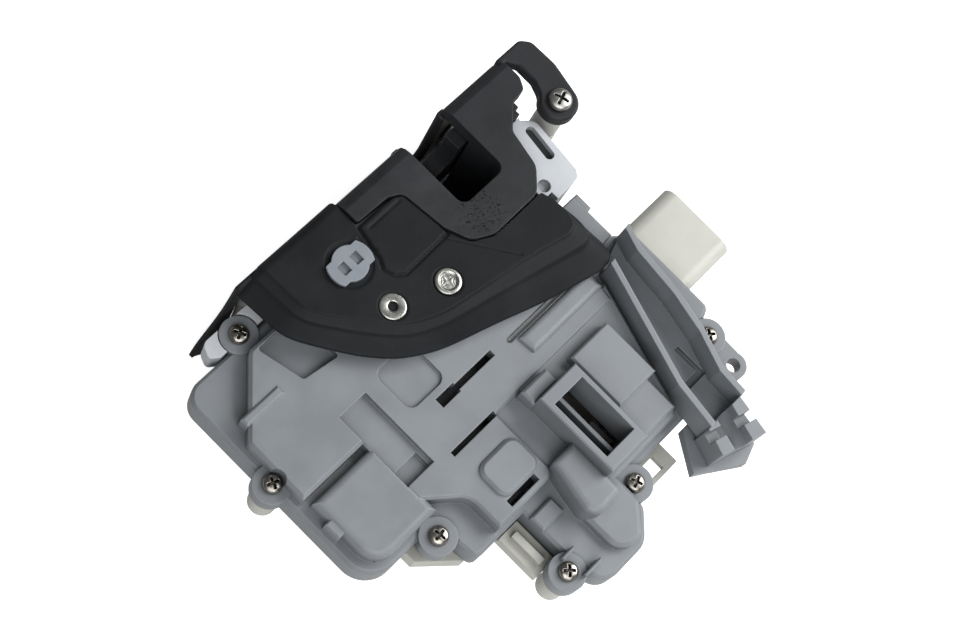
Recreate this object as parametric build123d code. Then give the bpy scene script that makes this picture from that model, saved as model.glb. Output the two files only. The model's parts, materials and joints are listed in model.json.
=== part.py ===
from build123d import *

import math
import os

# ---------------------------------------------------------------------------
# Driving dimensions, in millimetres.
# +X runs along the shut face, +Y points out of the shut face, +Z points up
# from the back rest to the cover. The origin lies on the back rest.
# ---------------------------------------------------------------------------

# heights
REST_Z = 0.0
REAR_FLOOR = 2.0          # thickness of the rear shell's floor
SPLIT_Z = 25.0            # joint between the rear shell and the cover
SKIRT_Z = 23.0            # lower edge of the cover's skirt
PLATEAU_Z = 32.0          # low deck of the cover, which carries the screws
BLOCK_Z = 38.0            # high deck of the cover, over the mechanism
PAD_Z = 40.5              # raised pads on the high deck
WINDOW_Z = 47.0           # rim of the lock window's chimney
DECK_Z = 45.0             # top of the latch carrier
FRAME_Z = 50.0            # top of the striker frame
WALL = 2.0

# shut face
FACE_Y = 50.5             # outer face of the latch plate
PLATE_T = 2.5
PLATE_X = (-41.0, 62.0)
PLATE_Z = (1.0, 44.5)
MOUTH_X = 28.8            # centre line of the striker mouth
MOUTH_W = 17.6
MOUTH_DEPTH_Y = 25.5      # where the mouth ends behind the shut face
MOUTH_BOTTOM_Z = 10.5
FIXING_HOLES = [(57.0, 38.0), (57.0, 8.0), (-31.0, 24.0)]
FIXING_R = 3.3
FIXING_LENGTH = 8.0

# claw and pawl, turning about axes along Y
CLAW_X, CLAW_Z = 47.3, 27.5
CLAW_Y = (39.5, 45.0)
CLAW_TURN = 50.0
THROAT_R = 6.5            # half the width of the claw's throat
THROAT_REACH = 20.0       # claw axis to throat centre
CLAW_RIM = 31.8
PAWL_X, PAWL_Z = 10.0, 31.0
PAWL_Y = (39.5, 45.0)
PIN_R = 4.0
RUN_FIT = 0.06

# cover screws, in plan
SCREWS = [(-47.7, 43.1), (-70.8, 6.9), (-47.7, -34.6), (-28.4, -66.7), (4.5, -63.1), (53.5, -48.9)]
SCREW_SHANK_R = 1.5
SCREW_HEAD_R = 2.95
BOSS_R = 5.6
BOSS_RISE = 0.8

# lock drive
MOTOR_Y, MOTOR_Z = 2.0, 15.0
WORM_PITCH = 3.0
WORM_R = 3.0              # pitch radius
WHEEL_TEETH = 30
WHEEL_R = WORM_PITCH * WHEEL_TEETH / (2 * math.pi)
WHEEL_X, WHEEL_Y = -30.0, MOTOR_Y - WORM_R - WHEEL_R
PINION_TEETH = 10
PINION_PITCH = 3.2
PINION_R = PINION_PITCH * PINION_TEETH / (2 * math.pi)
SLIDER_TRAVEL = 8.0


# ---------------------------------------------------------------------------
# Helpers
# ---------------------------------------------------------------------------

def box(x, y, z):
    """A box between two values on each axis."""
    return Pos(sum(x) / 2, sum(y) / 2, sum(z) / 2) * Box(x[1] - x[0], y[1] - y[0], z[1] - z[0])


def post(x, y, z, r):
    """A round post along Z between two heights."""
    return Pos(x, y, z[0]) * extrude(Circle(r), z[1] - z[0])


def across(x, z, y, r):
    """A round pin along Y between two depths."""
    return Pos(x, y[1], z) * Rot(90, 0, 0) * extrude(Circle(r), y[1] - y[0])


def rounded(points, r):
    """A closed face through points, with its corners rounded by r, or by a list of radii."""
    radii = r if isinstance(r, (list, tuple)) else [r] * len(points)
    face = make_face(Polyline(*points, close=True))
    for (x, y), radius in zip(points, radii):
        if radius:
            corner = min(face.vertices(), key=lambda v: abs(v.X - x) + abs(v.Y - y))
            face = fillet(corner, radius)
    return face


def slab(face, z, top_r=0.0, broken=0.0):
    """A plan face raised between two heights, its upper edge rounded by top_r or broken by a chamfer."""
    solid = Pos(0, 0, z[0]) * extrude(face, z[1] - z[0])
    rim = solid.faces().sort_by(Axis.Z)[-1].edges()
    if top_r:
        solid = fillet(rim, top_r)
    if broken:
        solid = chamfer(rim, broken)
    return solid


def pad(x, y, z, corner_r=0.0, broken=0.4):
    """A raised rectangular pad with a chamfered upper edge and, if corner_r is given, rounded corners."""
    size = (x[1] - x[0], y[1] - y[0])
    face = Pos(sum(x) / 2, sum(y) / 2) * (RectangleRounded(*size, corner_r) if corner_r else Rectangle(*size))
    return slab(face, z, broken=broken)


def upright(face, y):
    """A face drawn in X and Z, given its thickness along Y."""
    return Pos(0, y[1], 0) * Rot(90, 0, 0) * extrude(face, y[1] - y[0])


def save(name, *solids):
    """Write one sub-part, of one or several separate solids."""
    shape = solids[0] if len(solids) == 1 else Compound(children=list(solids))
    export_step(shape, f"parts/{name}.step")


# ---------------------------------------------------------------------------
# Cover: the grey moulding with its decks, pads, slots and lock window
# ---------------------------------------------------------------------------

def plateau_face():
    """Plan of the cover's low deck, which is also the joint with the rear shell."""
    points = [(-33.6, 41.3), (-71.2, 41.3), (-71.2, -31.5), (-45.5, -31.5), (-44.0, -46.6), (-25.0, -46.6),
              (-25.0, -62.0), (-23.0, -77.0), (-5.5, -77.0), (2.2, -69.5), (2.2, -60.5), (30.0, -60.5),
              (52.0, -46.5), (61.3, -43.0), (61.3, -13.0), (55.2, -8.0), (55.2, 7.4), (-17.3, 7.4), (-33.6, 30.8)]
    radii = [0, 6, 9, 0, 2.5, 0, 0, 6, 7, 4, 0, 0, 0, 2.5, 2, 0, 0, 0, 0]
    return rounded(points, radii)


def high_decks():
    """Plans of the raised decks as (points, corner radii, top height, edge radius)."""
    return [
        ([(-34.2, 37.4), (-50.4, 37.4), (-69.0, 18.8), (-69.0, -2.4), (-30.0, -2.4), (-18.2, 6.8),
          (-34.2, 30.6)], [0, 3, 3, 0, 0, 0, 0], BLOCK_Z, 1.0),
        ([(-67.6, -4.6), (-44.0, -4.6), (-44.0, -29.3), (-67.6, -29.3)], [0, 0, 0, 7], BLOCK_Z, 2.4),
        ([(-46.0, -1.5), (-40.0, 6.8), (42.0, 6.8), (38.0, -22.0), (-12.2, -22.0), (-12.2, -45.0),
          (-35.0, -45.0), (-35.0, -33.0), (-46.0, -24.0)], [0, 0, 0, 0, 0, 3, 0, 6, 0], BLOCK_Z, 0.8),
        ([(-14.0, -20.0), (-14.0, -44.0), (-1.0, -44.0), (-1.0, -20.0)], [0, 0, 0, 0], BLOCK_Z - 1.8, 0.0),
        ([(-2.6, -17.0), (40.4, -17.0), (27.6, -58.0), (-2.6, -58.0)], [0, 0, 4, 0], BLOCK_Z - 0.6, 0.8),
        ([(-12.2, -42.4), (-3.2, -42.4), (-3.2, -61.3), (-16.0, -62.4)], [1, 0, 2, 4], 42.4, 2.0),
        ([(-14.5, -56.0), (1.0, -56.0), (1.0, -67.0), (-6.0, -74.5), (-14.5, -74.5)], [0, 0, 3, 3, 6], 36.0, 1.2),
    ]


def lock_window():
    """The chimney around the lock window: its outer block and the hole down it."""
    outer = pad((-3.6, 11.6), (-55.9, -27.5), (PLATEAU_Z, WINDOW_Z), 0, 0.4)
    hole = box((-1.7, 10.0), (-51.9, -31.6), (SKIRT_Z, WINDOW_Z + 1))
    ribs = box((2.6, 3.8), (-51.9, -31.6), (34.0, 41.0)) + box((-1.7, -0.7), (-51.9, -31.6), (34.0, 43.0))
    return outer, hole, ribs


def cover_slots():
    """The narrow openings in the high deck."""
    z = (SKIRT_Z + 4, BLOCK_Z + 3)
    wide = box((-22.2, -15.0), (-10.6, -7.4), z)
    return [wide + box((-15.1, -0.2), (-10.0, -8.0), z), box((-30.0, -12.4), (-22.4, -20.8), z),
            box((-28.4, -17.0), (-43.2, -41.0), z)]


def cover_recesses():
    """Sunken panels and grooves in the high deck."""
    top = BLOCK_Z + 1
    tray = pad((-45.7, -35.2), (-19.4, 7.2), (BLOCK_Z - 1.8, top), 0, 0)
    step = pad((-45.2, -36.4), (-19.0, -14.1), (BLOCK_Z - 3.2, top), 0, 0)
    panel = pad((-29.8, -15.4), (-5.2, 9.5), (BLOCK_Z - 1.0, top), 3.0, 0)
    hollow = slab(rounded([(-48.6, 36.2), (-45.2, 21.4), (-33.0, 19.6), (-33.0, 36.2)], 1.0), (BLOCK_Z - 3.0, top))
    return [tray, step, panel, hollow]


def cover_pads():
    """Raised pads, ribs and small blocks on the decks."""
    high = pad((14.0, 29.8), (-45.0, -25.4), (BLOCK_Z - 2, 42.0), 0, 0.6)
    low = pad((12.4, 27.0), (-56.0, -44.0), (BLOCK_Z - 2, 40.2), 0, 0.6)
    bulge = pad((-28.8, -13.4), (-40.8, -28.8), (BLOCK_Z - 2, 39.6), 3.5, 1.0)
    rib = pad((-66.0, -51.9), (22.2, 25.0), (PLATEAU_Z, 38.9), 0, 0.6)
    block = pad((-69.4, -65.2), (-16.4, -11.0), (PLATEAU_Z, 37.0))
    step = pad((51.0, 54.6), (1.4, 7.2), (PLATEAU_Z, 37.0))
    strip = pad((43.2, 52.5), (-8.5, 7.2), (PLATEAU_Z, 38.0))
    stop = pad((-4.2, 6.4), (-27.6, -22.6), (BLOCK_Z - 2, 42.4), 0, 0.8)
    foot = pad((-25.2, -16.6), (-54.2, -49.0), (PLATEAU_Z - 1, 34.0), 0, 0.6)
    gussets = pad((-27.6, -22.8), (-63.6, -62.6), (PLATEAU_Z - 1, 36.0))
    gussets += pad((-26.4, -19.6), (-71.2, -70.2), (PLATEAU_Z - 1, 36.0))
    return [high, low, bulge, rib, block, step, strip, stop, foot, gussets]


def ear():
    """The fixing lug at the corner beside the cable guide, with its bore."""
    z = (27.0, PLATEAU_Z)
    neck = slab(rounded([(47.0, -44.0), (57.4, -44.0), (57.2, -58.5), (50.4, -63.4), (46.0, -58.0)], 0), z)
    return neck + post(EAR[0], EAR[1], z, EAR_R)


EAR = (53.2, -60.1)
EAR_R = 4.2
EAR_HOLE_R = 2.1


def cover_shell():
    """The cover: decks, pads and bosses, hollow underneath."""
    plateau = plateau_face()
    solid = slab(plateau, (SKIRT_Z, PLATEAU_Z), broken=1.0)
    cavity = slab(offset(plateau, -WALL, kind=Kind.INTERSECTION), (SKIRT_Z - 1, PLATEAU_Z - WALL))
    for points, radii, top, edge in high_decks():
        soft = edge if edge > 1.5 else 0.0
        solid += slab(rounded(points, radii), (PLATEAU_Z - 3, top), soft, edge - soft)
        core = offset(rounded(points, 0), -WALL, kind=Kind.INTERSECTION)
        cavity += slab(core, (SKIRT_Z, top - 4.5))
    for x, y in SCREWS:
        solid += post(x, y, (SKIRT_Z + 4, PLATEAU_Z + BOSS_RISE), BOSS_R)
    outer, hole, ribs = lock_window()
    solid += outer
    for extra in cover_pads():
        solid += extra
    solid += ear()
    solid -= cavity
    for cut in cover_slots() + cover_recesses():
        solid -= cut
    solid -= hole
    solid += ribs
    solid -= box((57.0, 63.0), (SHROUD_Y[0] - 0.3, SHROUD_Y[1] + 0.3), (SKIRT_Z - 1, SHROUD_Z[1] + 0.3))
    solid -= slab(offset(tongue_face(), 0.4, kind=Kind.INTERSECTION), (SKIRT_Z - 1, PLATEAU_Z - 4.8))
    solid -= post(*SCREWS[0], (SKIRT_Z - 1, PLATEAU_Z - 4.8), BOSS_R + 0.4)
    for x, y in SCREWS:
        solid -= post(x, y, (SKIRT_Z, PLATEAU_Z + 2), SCREW_SHANK_R)
        solid -= post(x, y, (PLATEAU_Z + BOSS_RISE, 60), SCREW_HEAD_R + 0.3)
    for x, y in SCREWS[1:]:
        solid -= post(x, y, (SKIRT_Z - 1, PLATEAU_Z - 5.0), 2.9)
    solid -= post(EAR[0], EAR[1], (20, 40), EAR_HOLE_R)
    return solid



# ---------------------------------------------------------------------------
# Rear shell, connector and the electrical parts inside
# ---------------------------------------------------------------------------

REAR_BODY = [(-64.6, 33.0), (-64.6, -20.0), (-38.0, -36.0), (-18.5, -36.0), (-18.5, -66.0), (-3.0, -66.0),
             (8.0, -54.0), (30.0, -54.0), (50.0, -40.0), (56.0, -36.0), (56.0, 4.5), (-19.5, 4.5), (-36.5, 29.0),
             (-36.5, 33.0)]


def rear_shell():
    """The rear shell: a flange inside the cover's skirt, a deep body, floor ribs and screw posts."""
    flange = offset(plateau_face(), -WALL - 0.3, kind=Kind.INTERSECTION)
    body = rounded(REAR_BODY, [4, 6, 6, 2, 4, 4, 2, 2, 2, 2, 2, 0, 0, 2])
    inside = offset(rounded(REAR_BODY, 0), -WALL, kind=Kind.INTERSECTION)
    solid = slab(flange, (SKIRT_Z - 0.2, SPLIT_Z)) - post(*SCREWS[0], (SKIRT_Z - 1, SPLIT_Z + 1), BOSS_R + 0.5)
    solid += slab(body, (REST_Z, SKIRT_Z - 0.2)) - box((-66.0, -61.2), (-40.0, 40.0), (-1.0, 8.0))
    solid += rear_tabs()
    for x, y in SCREWS[1:]:
        solid += post(x, y, (SPLIT_Z - 11, SKIRT_Z - 0.1), 4.2)
        solid += post(x, y, (SPLIT_Z - 11, PLATEAU_Z - 5.2), 2.6)
    solid += web((53.5, -48.9), (46.0, -40.0), 6.0, (17.0, SKIRT_Z - 0.1))
    solid += web((-28.4, -66.7), (-15.0, -58.0), 6.0, (17.0, SKIRT_Z - 0.1))
    solid -= slab(inside, (REAR_FLOOR, SPLIT_Z + 1)) - box((-66.0, -59.2), (-40.0, 40.0), (0.0, 10.0))
    for x, y in SCREWS[1:]:
        solid -= post(x, y, (SPLIT_Z - 8, PLATEAU_Z), SCREW_SHANK_R - 0.2)
    for y in (-12.0, -28.0):
        solid += box((-60.5, -48.0), (y - 0.6, y + 0.6), (REAR_FLOOR, 7.0))
    solid += post(WHEEL_X, WHEEL_Y, (REAR_FLOOR, 9.0), 3.0)
    solid -= post(WHEEL_X, WHEEL_Y, (4.0, 12.0), 1.5)
    solid -= box((50.0, 57.0), (-33.0, -11.5), (12.0, SPLIT_Z - 2.5))
    solid -= box((56.0, 63.0), (SHROUD_Y[0] - 0.3, SHROUD_Y[1] + 0.3), (SKIRT_Z - 1, SPLIT_Z + 1))
    return solid


def web(a, b, width, z):
    """An upright web between two points in plan."""
    length = math.hypot(b[0] - a[0], b[1] - a[1])
    turn = math.degrees(math.atan2(b[1] - a[1], b[0] - a[0]))
    return Pos(*a, z[0]) * Rot(0, 0, turn) * Pos(length / 2, 0, (z[1] - z[0]) / 2) * Box(length, width, z[1] - z[0])


def rear_tabs():
    """Tabs and brackets of the rear shell that reach out past the cover."""
    plate = box((-33.2, -17.0), (-62.0, -46.0), (20.5, 22.8)) + box((-33.2, -25.6), (-62.0, -47.0), (22.8, 25.0))
    plate += box((-30.6, -28.4), (-60.0, -49.0), (25.0, 27.0))
    bracket = box((9.0, 23.0), (-68.0, -54.0), (20.5, 22.8)) - box((11.2, 18.6), (-66.4, -61.9), (15, 30))
    tab = slab(rounded([(-54.5, -29.0), (-54.5, -35.0), (-44.0, -44.5), (-40.0, -44.5), (-40.0, -29.0)], 0),
               (16.0, 22.8))
    return plate + bracket + tab


SHROUD_X = (57.8, 81.5)
SHROUD_Y = (-35.6, -9.4)
SHROUD_Z = (9.5, 29.6)


def connector_shroud():
    """The plug socket: a rounded shroud open towards +X, with a flange behind and a keying rib."""
    size = (SHROUD_Y[1] - SHROUD_Y[0], SHROUD_Z[1] - SHROUD_Z[0])
    middle = (sum(SHROUD_Y) / 2, sum(SHROUD_Z) / 2)
    outside = Plane(origin=(SHROUD_X[0], *middle), x_dir=(0, 1, 0), z_dir=(1, 0, 0))
    inside = Plane(origin=(SHROUD_X[0] + 3.0, *middle), x_dir=(0, 1, 0), z_dir=(1, 0, 0))
    solid = extrude(outside * RectangleRounded(*size, 4.0), SHROUD_X[1] - SHROUD_X[0])
    hollow = extrude(inside * RectangleRounded(size[0] - 3.4, size[1] - 3.4, 2.4), 40)
    solid -= hollow
    solid += box((56.0, SHROUD_X[0] + 0.5), (SHROUD_Y[0] + 3, SHROUD_Y[1] - 3), (SHROUD_Z[0] + 3, SKIRT_Z - 0.2))
    solid += box((SHROUD_X[0] + 3, SHROUD_X[1] - 2), (middle[0] - 1, middle[0] + 1), (SHROUD_Z[0] + 1, SHROUD_Z[0] + 4))
    return solid


def connector_pins():
    """Two rows of blade contacts standing in the socket."""
    pins = []
    for row, z in enumerate((16.5, 22.5)):
        for i in range(6):
            y = sum(SHROUD_Y) / 2 + (i - 2.5) * 3.4
            pins.append(box((SHROUD_X[0] + 3.0, SHROUD_X[1] - 8.0), (y - 0.5, y + 0.5), (z - 0.4, z + 0.4)))
    return pins


def lead_frame():
    """The stamped contact tracks on the rear shell's floor, from the socket to the motor."""
    tracks = []
    for i in range(3):
        y = -22.0 + 4.0 * i
        tracks.append(box((-4.0 + 3 * i, 50.0), (y - 0.8, y + 0.8), (REAR_FLOOR + 0.02, REAR_FLOOR + 0.6)))
    return tracks


def motor():
    """The lock motor: a flat-sided can with a bearing boss and a contact block."""
    x = (-62.4, -43.3)
    can = Pos(x[0], MOTOR_Y, MOTOR_Z) * Rot(0, 90, 0) * extrude(Circle(8.6), x[1] - x[0])
    can = can & box(x, (MOTOR_Y - 10, MOTOR_Y + 10), (MOTOR_Z - 4.8, MOTOR_Z + 6.6))
    boss = Pos(x[1], MOTOR_Y, MOTOR_Z) * Rot(0, 90, 0) * extrude(Circle(3.2), 1.6)
    bore = Pos(x[0] + 6, MOTOR_Y, MOTOR_Z) * Rot(0, 90, 0) * extrude(Circle(1.06), 40)
    return can + boss - bore


WORM_X = (-36.5, -23.5)


def worm():
    """The worm on its shaft: one thread wound round the core as a run of overlapping tapered teeth."""
    core = Pos(WORM_X[0], 0, 0) * Rot(0, 90, 0) * extrude(Circle(2.0), WORM_X[1] - WORM_X[0])
    shaft = Pos(-50.0, 0, 0) * Rot(0, 90, 0) * extrude(Circle(1.0), 14.0)
    tooth = loft([Pos(0, 0, 1.6) * Rectangle(1.7, 1.3), Pos(0, 0, WORM_R + 0.75) * Rectangle(0.6, 2.1)])
    per_turn = 12
    thread = [Pos((i / per_turn - 1.75) * WORM_PITCH, 0, 0) * Rot(360 * i / per_turn, 0, 0) * tooth
              for i in range(3 * per_turn)]
    wound = Pos(WHEEL_X, 0, 0) * (Part() + thread)
    return Pos(0, MOTOR_Y, MOTOR_Z) * (core + shaft + wound)


def toothed(count, pitch_r, tip, root, width, z, turn=0.0):
    """A spur gear with straight-sided teeth, between two heights; the first tooth lies along +X plus turn."""
    gear = post(0, 0, z, root)
    tooth = make_face(Polyline((root - 0.6, -width * 0.75), (tip, -width * 0.32), (tip, width * 0.32),
                               (root - 0.6, width * 0.75), close=True))
    for i in range(count):
        gear += Rot(0, 0, turn + 360 * i / count) * slab(tooth, z)
    return gear


def worm_wheel():
    """The wheel that the worm drives, with the pinion that moves the lock slider."""
    wheel = toothed(WHEEL_TEETH, WHEEL_R, WHEEL_R + 0.8, WHEEL_R - 1.1, 1.3, (MOTOR_Z - 1.5, MOTOR_Z + 1.5), 90)
    hub = post(0, 0, (9.2, 25.3), 2.9)
    pinion = toothed(PINION_TEETH, PINION_R, PINION_R + 0.9, PINION_R - 1.2, 1.3, (25.2, 28.8), 0)
    wheel += hub
    wheel += pinion
    wheel -= post(0, 0, (0, 40), 1.5 + RUN_FIT)
    return Pos(WHEEL_X, WHEEL_Y) * wheel


def wheel_pin():
    """The steel pin that carries the wheel."""
    return post(WHEEL_X, WHEEL_Y, (4.0, 29.6), 1.5)


def gear_cover():
    """The black plate over the gears, which stands on pegs under the cover's deck and closes its slots."""
    plate = make_face(Polyline((-43.0, -1.0), (-38.5, 4.0), (38.0, 4.0), (35.5, -19.5), (-14.8, -19.5), (-14.8, -42.4),
                               (-32.4, -42.4), (-32.4, -31.0), (-43.0, -23.3), close=True))
    solid = slab(plate, (30.3, 31.5))
    for x, y in ((-39.0, -10.0), (30.0, -10.0), (-24.0, -34.0), (10.0, 0.0)):
        solid += box((x - 1.2, x + 1.2), (y - 1.2, y + 1.2), (31.5, BLOCK_Z - 4.5))
    return solid


def lock_slider():
    """The lock slider: a rack beside the pinion, a bridge and the block in the lock window."""
    rack_x = WHEEL_X + PINION_R + 1.25
    z = (SPLIT_Z + 0.4, SPLIT_Z + 3.6)
    bar = box((rack_x, rack_x + 4.0), (WHEEL_Y - 26.0, WHEEL_Y + 9.0), z)
    bar += box((rack_x + 1.4, rack_x + 4.0), (WHEEL_Y - 35.0, WHEEL_Y - 25.0), z)
    for i in range(-4, 3):
        y = WHEEL_Y + (i + 0.5) * PINION_PITCH
        tooth = make_face(Polyline((rack_x + 0.3, y - 0.95), (rack_x - 1.9, y - 0.4), (rack_x - 1.9, y + 0.4),
                                   (rack_x + 0.3, y + 0.95), close=True))
        bar += slab(tooth, z)
    bridge = box((rack_x + 1.4, 8.0), (-50.4, -45.2), z)
    block = box((0.4, 8.6), (-50.4, -42.3), (z[0], 33.5)) - box((2.2, 6.8), (-48.4, -45.0), (z[1], 40.0))
    return bar + bridge + block


def switch_body():
    """A microswitch beside the lock slider."""
    body = box((-13.0, -6.0), (-20.0, -8.0), (REAR_FLOOR + 0.05, 8.5))
    return body - post(-9.5, -14.0, (4.5, 10.0), 1.06)


def switch_plunger():
    """The microswitch's button."""
    return post(-9.5, -14.0, (6.0, 10.2), 1.0)


def screw(x, y, z, head_r, shank_r, length, head_h):
    """A pan-head screw with a cross recess, its head's underside at z."""
    head = Pos(x, y, z) * extrude(Circle(head_r), head_h)
    head = chamfer(head.faces().sort_by(Axis.Z)[-1].edges(), head_h * 0.45)
    cross = box((x - 1.5, x + 1.5), (y - 0.35, y + 0.35), (z + head_h - 1.0, z + head_h + 1))
    cross += box((x - 0.35, x + 0.35), (y - 1.5, y + 1.5), (z + head_h - 1.0, z + head_h + 1))
    return head + post(x, y, (z - length, z), shank_r) - cross


def cover_screws():
    """The six pan-head screws that hold the cover."""
    z = PLATEAU_Z + BOSS_RISE
    return [screw(x, y, z, SCREW_HEAD_R, SCREW_SHANK_R - 0.25, 14.0, 2.2) for x, y in SCREWS]


# ---------------------------------------------------------------------------
# Cable guide
# ---------------------------------------------------------------------------

LEFT_WALL = [(42.8, -14.4), (30.6, -52.3), (28.6, -67.2)]
RIGHT_WALL = [(56.0, -10.0), (53.6, -17.0), (52.0, -33.0), (49.2, -46.0), (44.8, -58.0), (44.2, -67.2)]
GUIDE_Z = (32.1, 34.0, 44.0)


def wall_along(line, t, z):
    """An upright wall of thickness t that follows a line, to its left."""
    face = Plane.XY * make_face(Polyline(*line, *[(x + t, y + 0.2) for x, y in reversed(line)], close=True))
    return slab(face, z)


def cable_guide():
    """The open channel that leads the release cable, with the clip for the cable's end fitting."""
    z0, z1, z2 = GUIDE_Z
    floor = make_face(Polyline(*LEFT_WALL, *reversed(RIGHT_WALL), close=True))
    solid = slab(floor, (z0, z1))
    solid += wall_along(LEFT_WALL, 1.9, (z0, z2))
    solid += wall_along([(x - 1.9, y) for x, y in RIGHT_WALL], 1.9, (z0, z2))
    solid -= box((42.4, 44.0), (-53.6, -44.8), (z0 + 0.4, z1 + 1)) + box((36.8, 44.0), (-55.8, -53.5), (z0 + 0.4, z1 + 1))
    clip = slab(make_face(Polyline((28.0, -67.0), (42.2, -67.0), (39.9, -79.5), (25.2, -75.0), close=True)), (30.0, 43.0))
    groove = Pos(35.1, -67.1, 39.0) * Rot(0, 0, -16) * Rot(90, 0, 0)
    clip -= groove * Pos(0, 0, -2) * extrude(Circle(3.2), 20)
    clip -= groove * Pos(0, 5.0, 9) * Box(6.4, 10.0, 30)
    clip -= groove * Pos(0, 4.0, 4.2) * Box(30.0, 9.0, 3.0)
    rail = slab(make_face(Polyline((20.6, -73.6), (28.0, -62.5), (40.0, -62.5), (41.2, -80.2), (34.6, -82.4),
                                   (24.0, -75.6), close=True)), (26.0, 30.0))
    return solid + clip + rail - post(*SCREWS[5], (20, PLATEAU_Z + BOSS_RISE + 0.2), BOSS_R + 0.3)


# ---------------------------------------------------------------------------
# Latch: plate, carrier, claw, pawl and their pins
# ---------------------------------------------------------------------------

CARRIER = [(-33.0, 47.9), (-33.0, 31.0), (-17.0, 8.0), (44.0, 8.0), (44.6, 9.3), (54.8, 9.9), (56.3, 12.0),
           (58.1, 30.4), (54.6, 33.4), (57.6, 38.2), (61.5, 41.5), (61.5, 47.9)]
CARRIER_R = [0, 0, 0, 0, 0, 1.5, 1.5, 3.0, 0, 0, 0, 0]
CLAW_ROOM_Y = 38.8
LEVER_ROOM_Z = 30.0
LINER_T = 1.4


def mouth_cut(y, bottom, width=MOUTH_W, top=60.0):
    """The striker mouth, cut through everything between two depths, round at its bottom."""
    r = width / 2
    return across(MOUTH_X, bottom + r, y, r) + box((MOUTH_X - r, MOUTH_X + r), y, (bottom + r, top))


def latch_plate():
    """The steel plate of the shut face, with the striker mouth, pin holes and threaded fixing holes."""
    y = (FACE_Y - PLATE_T, FACE_Y)
    points = [(PLATE_X[0], PLATE_Z[0]), (PLATE_X[1], PLATE_Z[0]), (PLATE_X[1], PLATE_Z[1]), (PLATE_X[0], PLATE_Z[1])]
    plate = upright(rounded(points, [5, 5, 4, 4]), y)
    for x, z in FIXING_HOLES:
        plate += across(x, z, (FACE_Y - FIXING_LENGTH, FACE_Y), 5.6)
    plate -= mouth_cut((FACE_Y - 12, FACE_Y + 1), MOUTH_BOTTOM_Z)
    for x, z in FIXING_HOLES:
        plate -= across(x, z, (FACE_Y - 20, FACE_Y + 1), FIXING_R)
    for x, z in ((CLAW_X, CLAW_Z), (PAWL_X, PAWL_Z)):
        plate -= across(x, z, (FACE_Y - 5, FACE_Y + 1), PIN_R - 1.5)
    return plate


def tongue_face():
    """Plan of the carrier's tongue, which reaches under the corner of the cover to its first screw."""
    points = [(-28.0, 33.0), (-40.0, 36.0), (-52.0, 40.6), (-56.0, 41.7), (-58.8, 43.6), (-57.0, 47.9), (-37.2, 47.9),
              (-28.0, 41.9)]
    return rounded(points, [0, 0, 0, 0, 1.5, 2.5, 0, 0])


def collar():
    """The raised part of the tongue round the first screw's boss."""
    solid = slab(tongue_face(), (26.0, 33.2)) & box((-60.0, -37.3), (41.8, 47.9), (26.0, 33.2))
    return solid - post(*SCREWS[0], (PLATEAU_Z - 5.2, 40.0), BOSS_R + 0.4)


def latch_carrier():
    """The white carrier: claw room, pawl room, lever room and the tongue under the cover's corner."""
    solid = slab(rounded(CARRIER, CARRIER_R), (1.0, DECK_Z - 1.0))
    solid += slab(tongue_face(), (25.0, PLATEAU_Z - 5.2))
    solid += slab(Pos(*SCREWS[0]) * Circle(BOSS_R - 0.4), (16.0, PLATEAU_Z - 5.2)) + collar()
    solid -= box((-5.0, 56.5), (CLAW_ROOM_Y, 49.0), (3.0, DECK_Z + 1))
    solid -= box((50.5, 64.0), (41.0, 49.0), (1.0, DECK_Z + 1))
    solid -= box((-37.2, -24.8), (42.0, 49.0), (17.8, 30.2))
    solid -= box((-29.0, 42.0), (18.0, 37.0), (LEVER_ROOM_Z, DECK_Z))
    solid -= box((-22.7, 42.0), (7.0, 19.0), (LEVER_ROOM_Z, DECK_Z))
    solid -= box((41.0, 45.5), (-1.0, 12.0), (38.5, DECK_Z))
    solid -= box((41.0, 50.0), (-1.0, 8.5), (38.5, DECK_Z))
    solid -= box((1.0, 14.5), (36.0, 40.0), (34.0, DECK_Z))
    solid -= mouth_cut((MOUTH_DEPTH_Y - LINER_T - 0.1, 49.0), MOUTH_BOTTOM_Z - LINER_T - 0.1, MOUTH_W + 2 * LINER_T + 0.2)
    solid -= slab(Pos(54.1, 24.7) * Rot(0, 0, -7.5) * RectangleRounded(3.0, 11.6, 1.4), (DECK_Z - 4.0, DECK_Z))
    solid -= box((47.4, 58.6), (34.2, 39.2), (37.8, DECK_Z))
    solid -= post(45.2, 14.8, (DECK_Z - 3.0, DECK_Z), 2.0)
    x, y = SCREWS[0]
    solid -= post(x, y, (18.0, PLATEAU_Z), SCREW_SHANK_R - 0.2)
    for x, z in ((CLAW_X, CLAW_Z), (PAWL_X, PAWL_Z)):
        solid -= across(x, z, (CLAW_ROOM_Y - 6.0, CLAW_ROOM_Y + 1), PIN_R - 1.5)
    for x, y in (HOLLOW_RIVET, SOLID_RIVET):
        solid -= post(x, y, (LEVER_ROOM_Z - 5.0, DECK_Z), RIVET_R)
    return solid


def rim(angle, r):
    """A point on the claw, in X and Z, by its angle and radius about the claw's axis."""
    a = math.radians(angle)
    return (CLAW_X + r * math.cos(a), CLAW_Z + r * math.sin(a))


THROAT_ANGLE = 155.0       # direction of the throat's centre from the claw's axis, open
THROAT_OPENS = 95.0        # direction in which the open claw's throat faces


def throat(r):
    """The claw's throat as a face: a slot with a round end."""
    x, z = rim(THROAT_ANGLE, THROAT_REACH)
    slot = Pos(x, z) * Rot(0, 0, THROAT_OPENS - 90) * Pos(0, 15) * Rectangle(2 * r, 30)
    return Pos(x, z) * Circle(r) + slot


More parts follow.
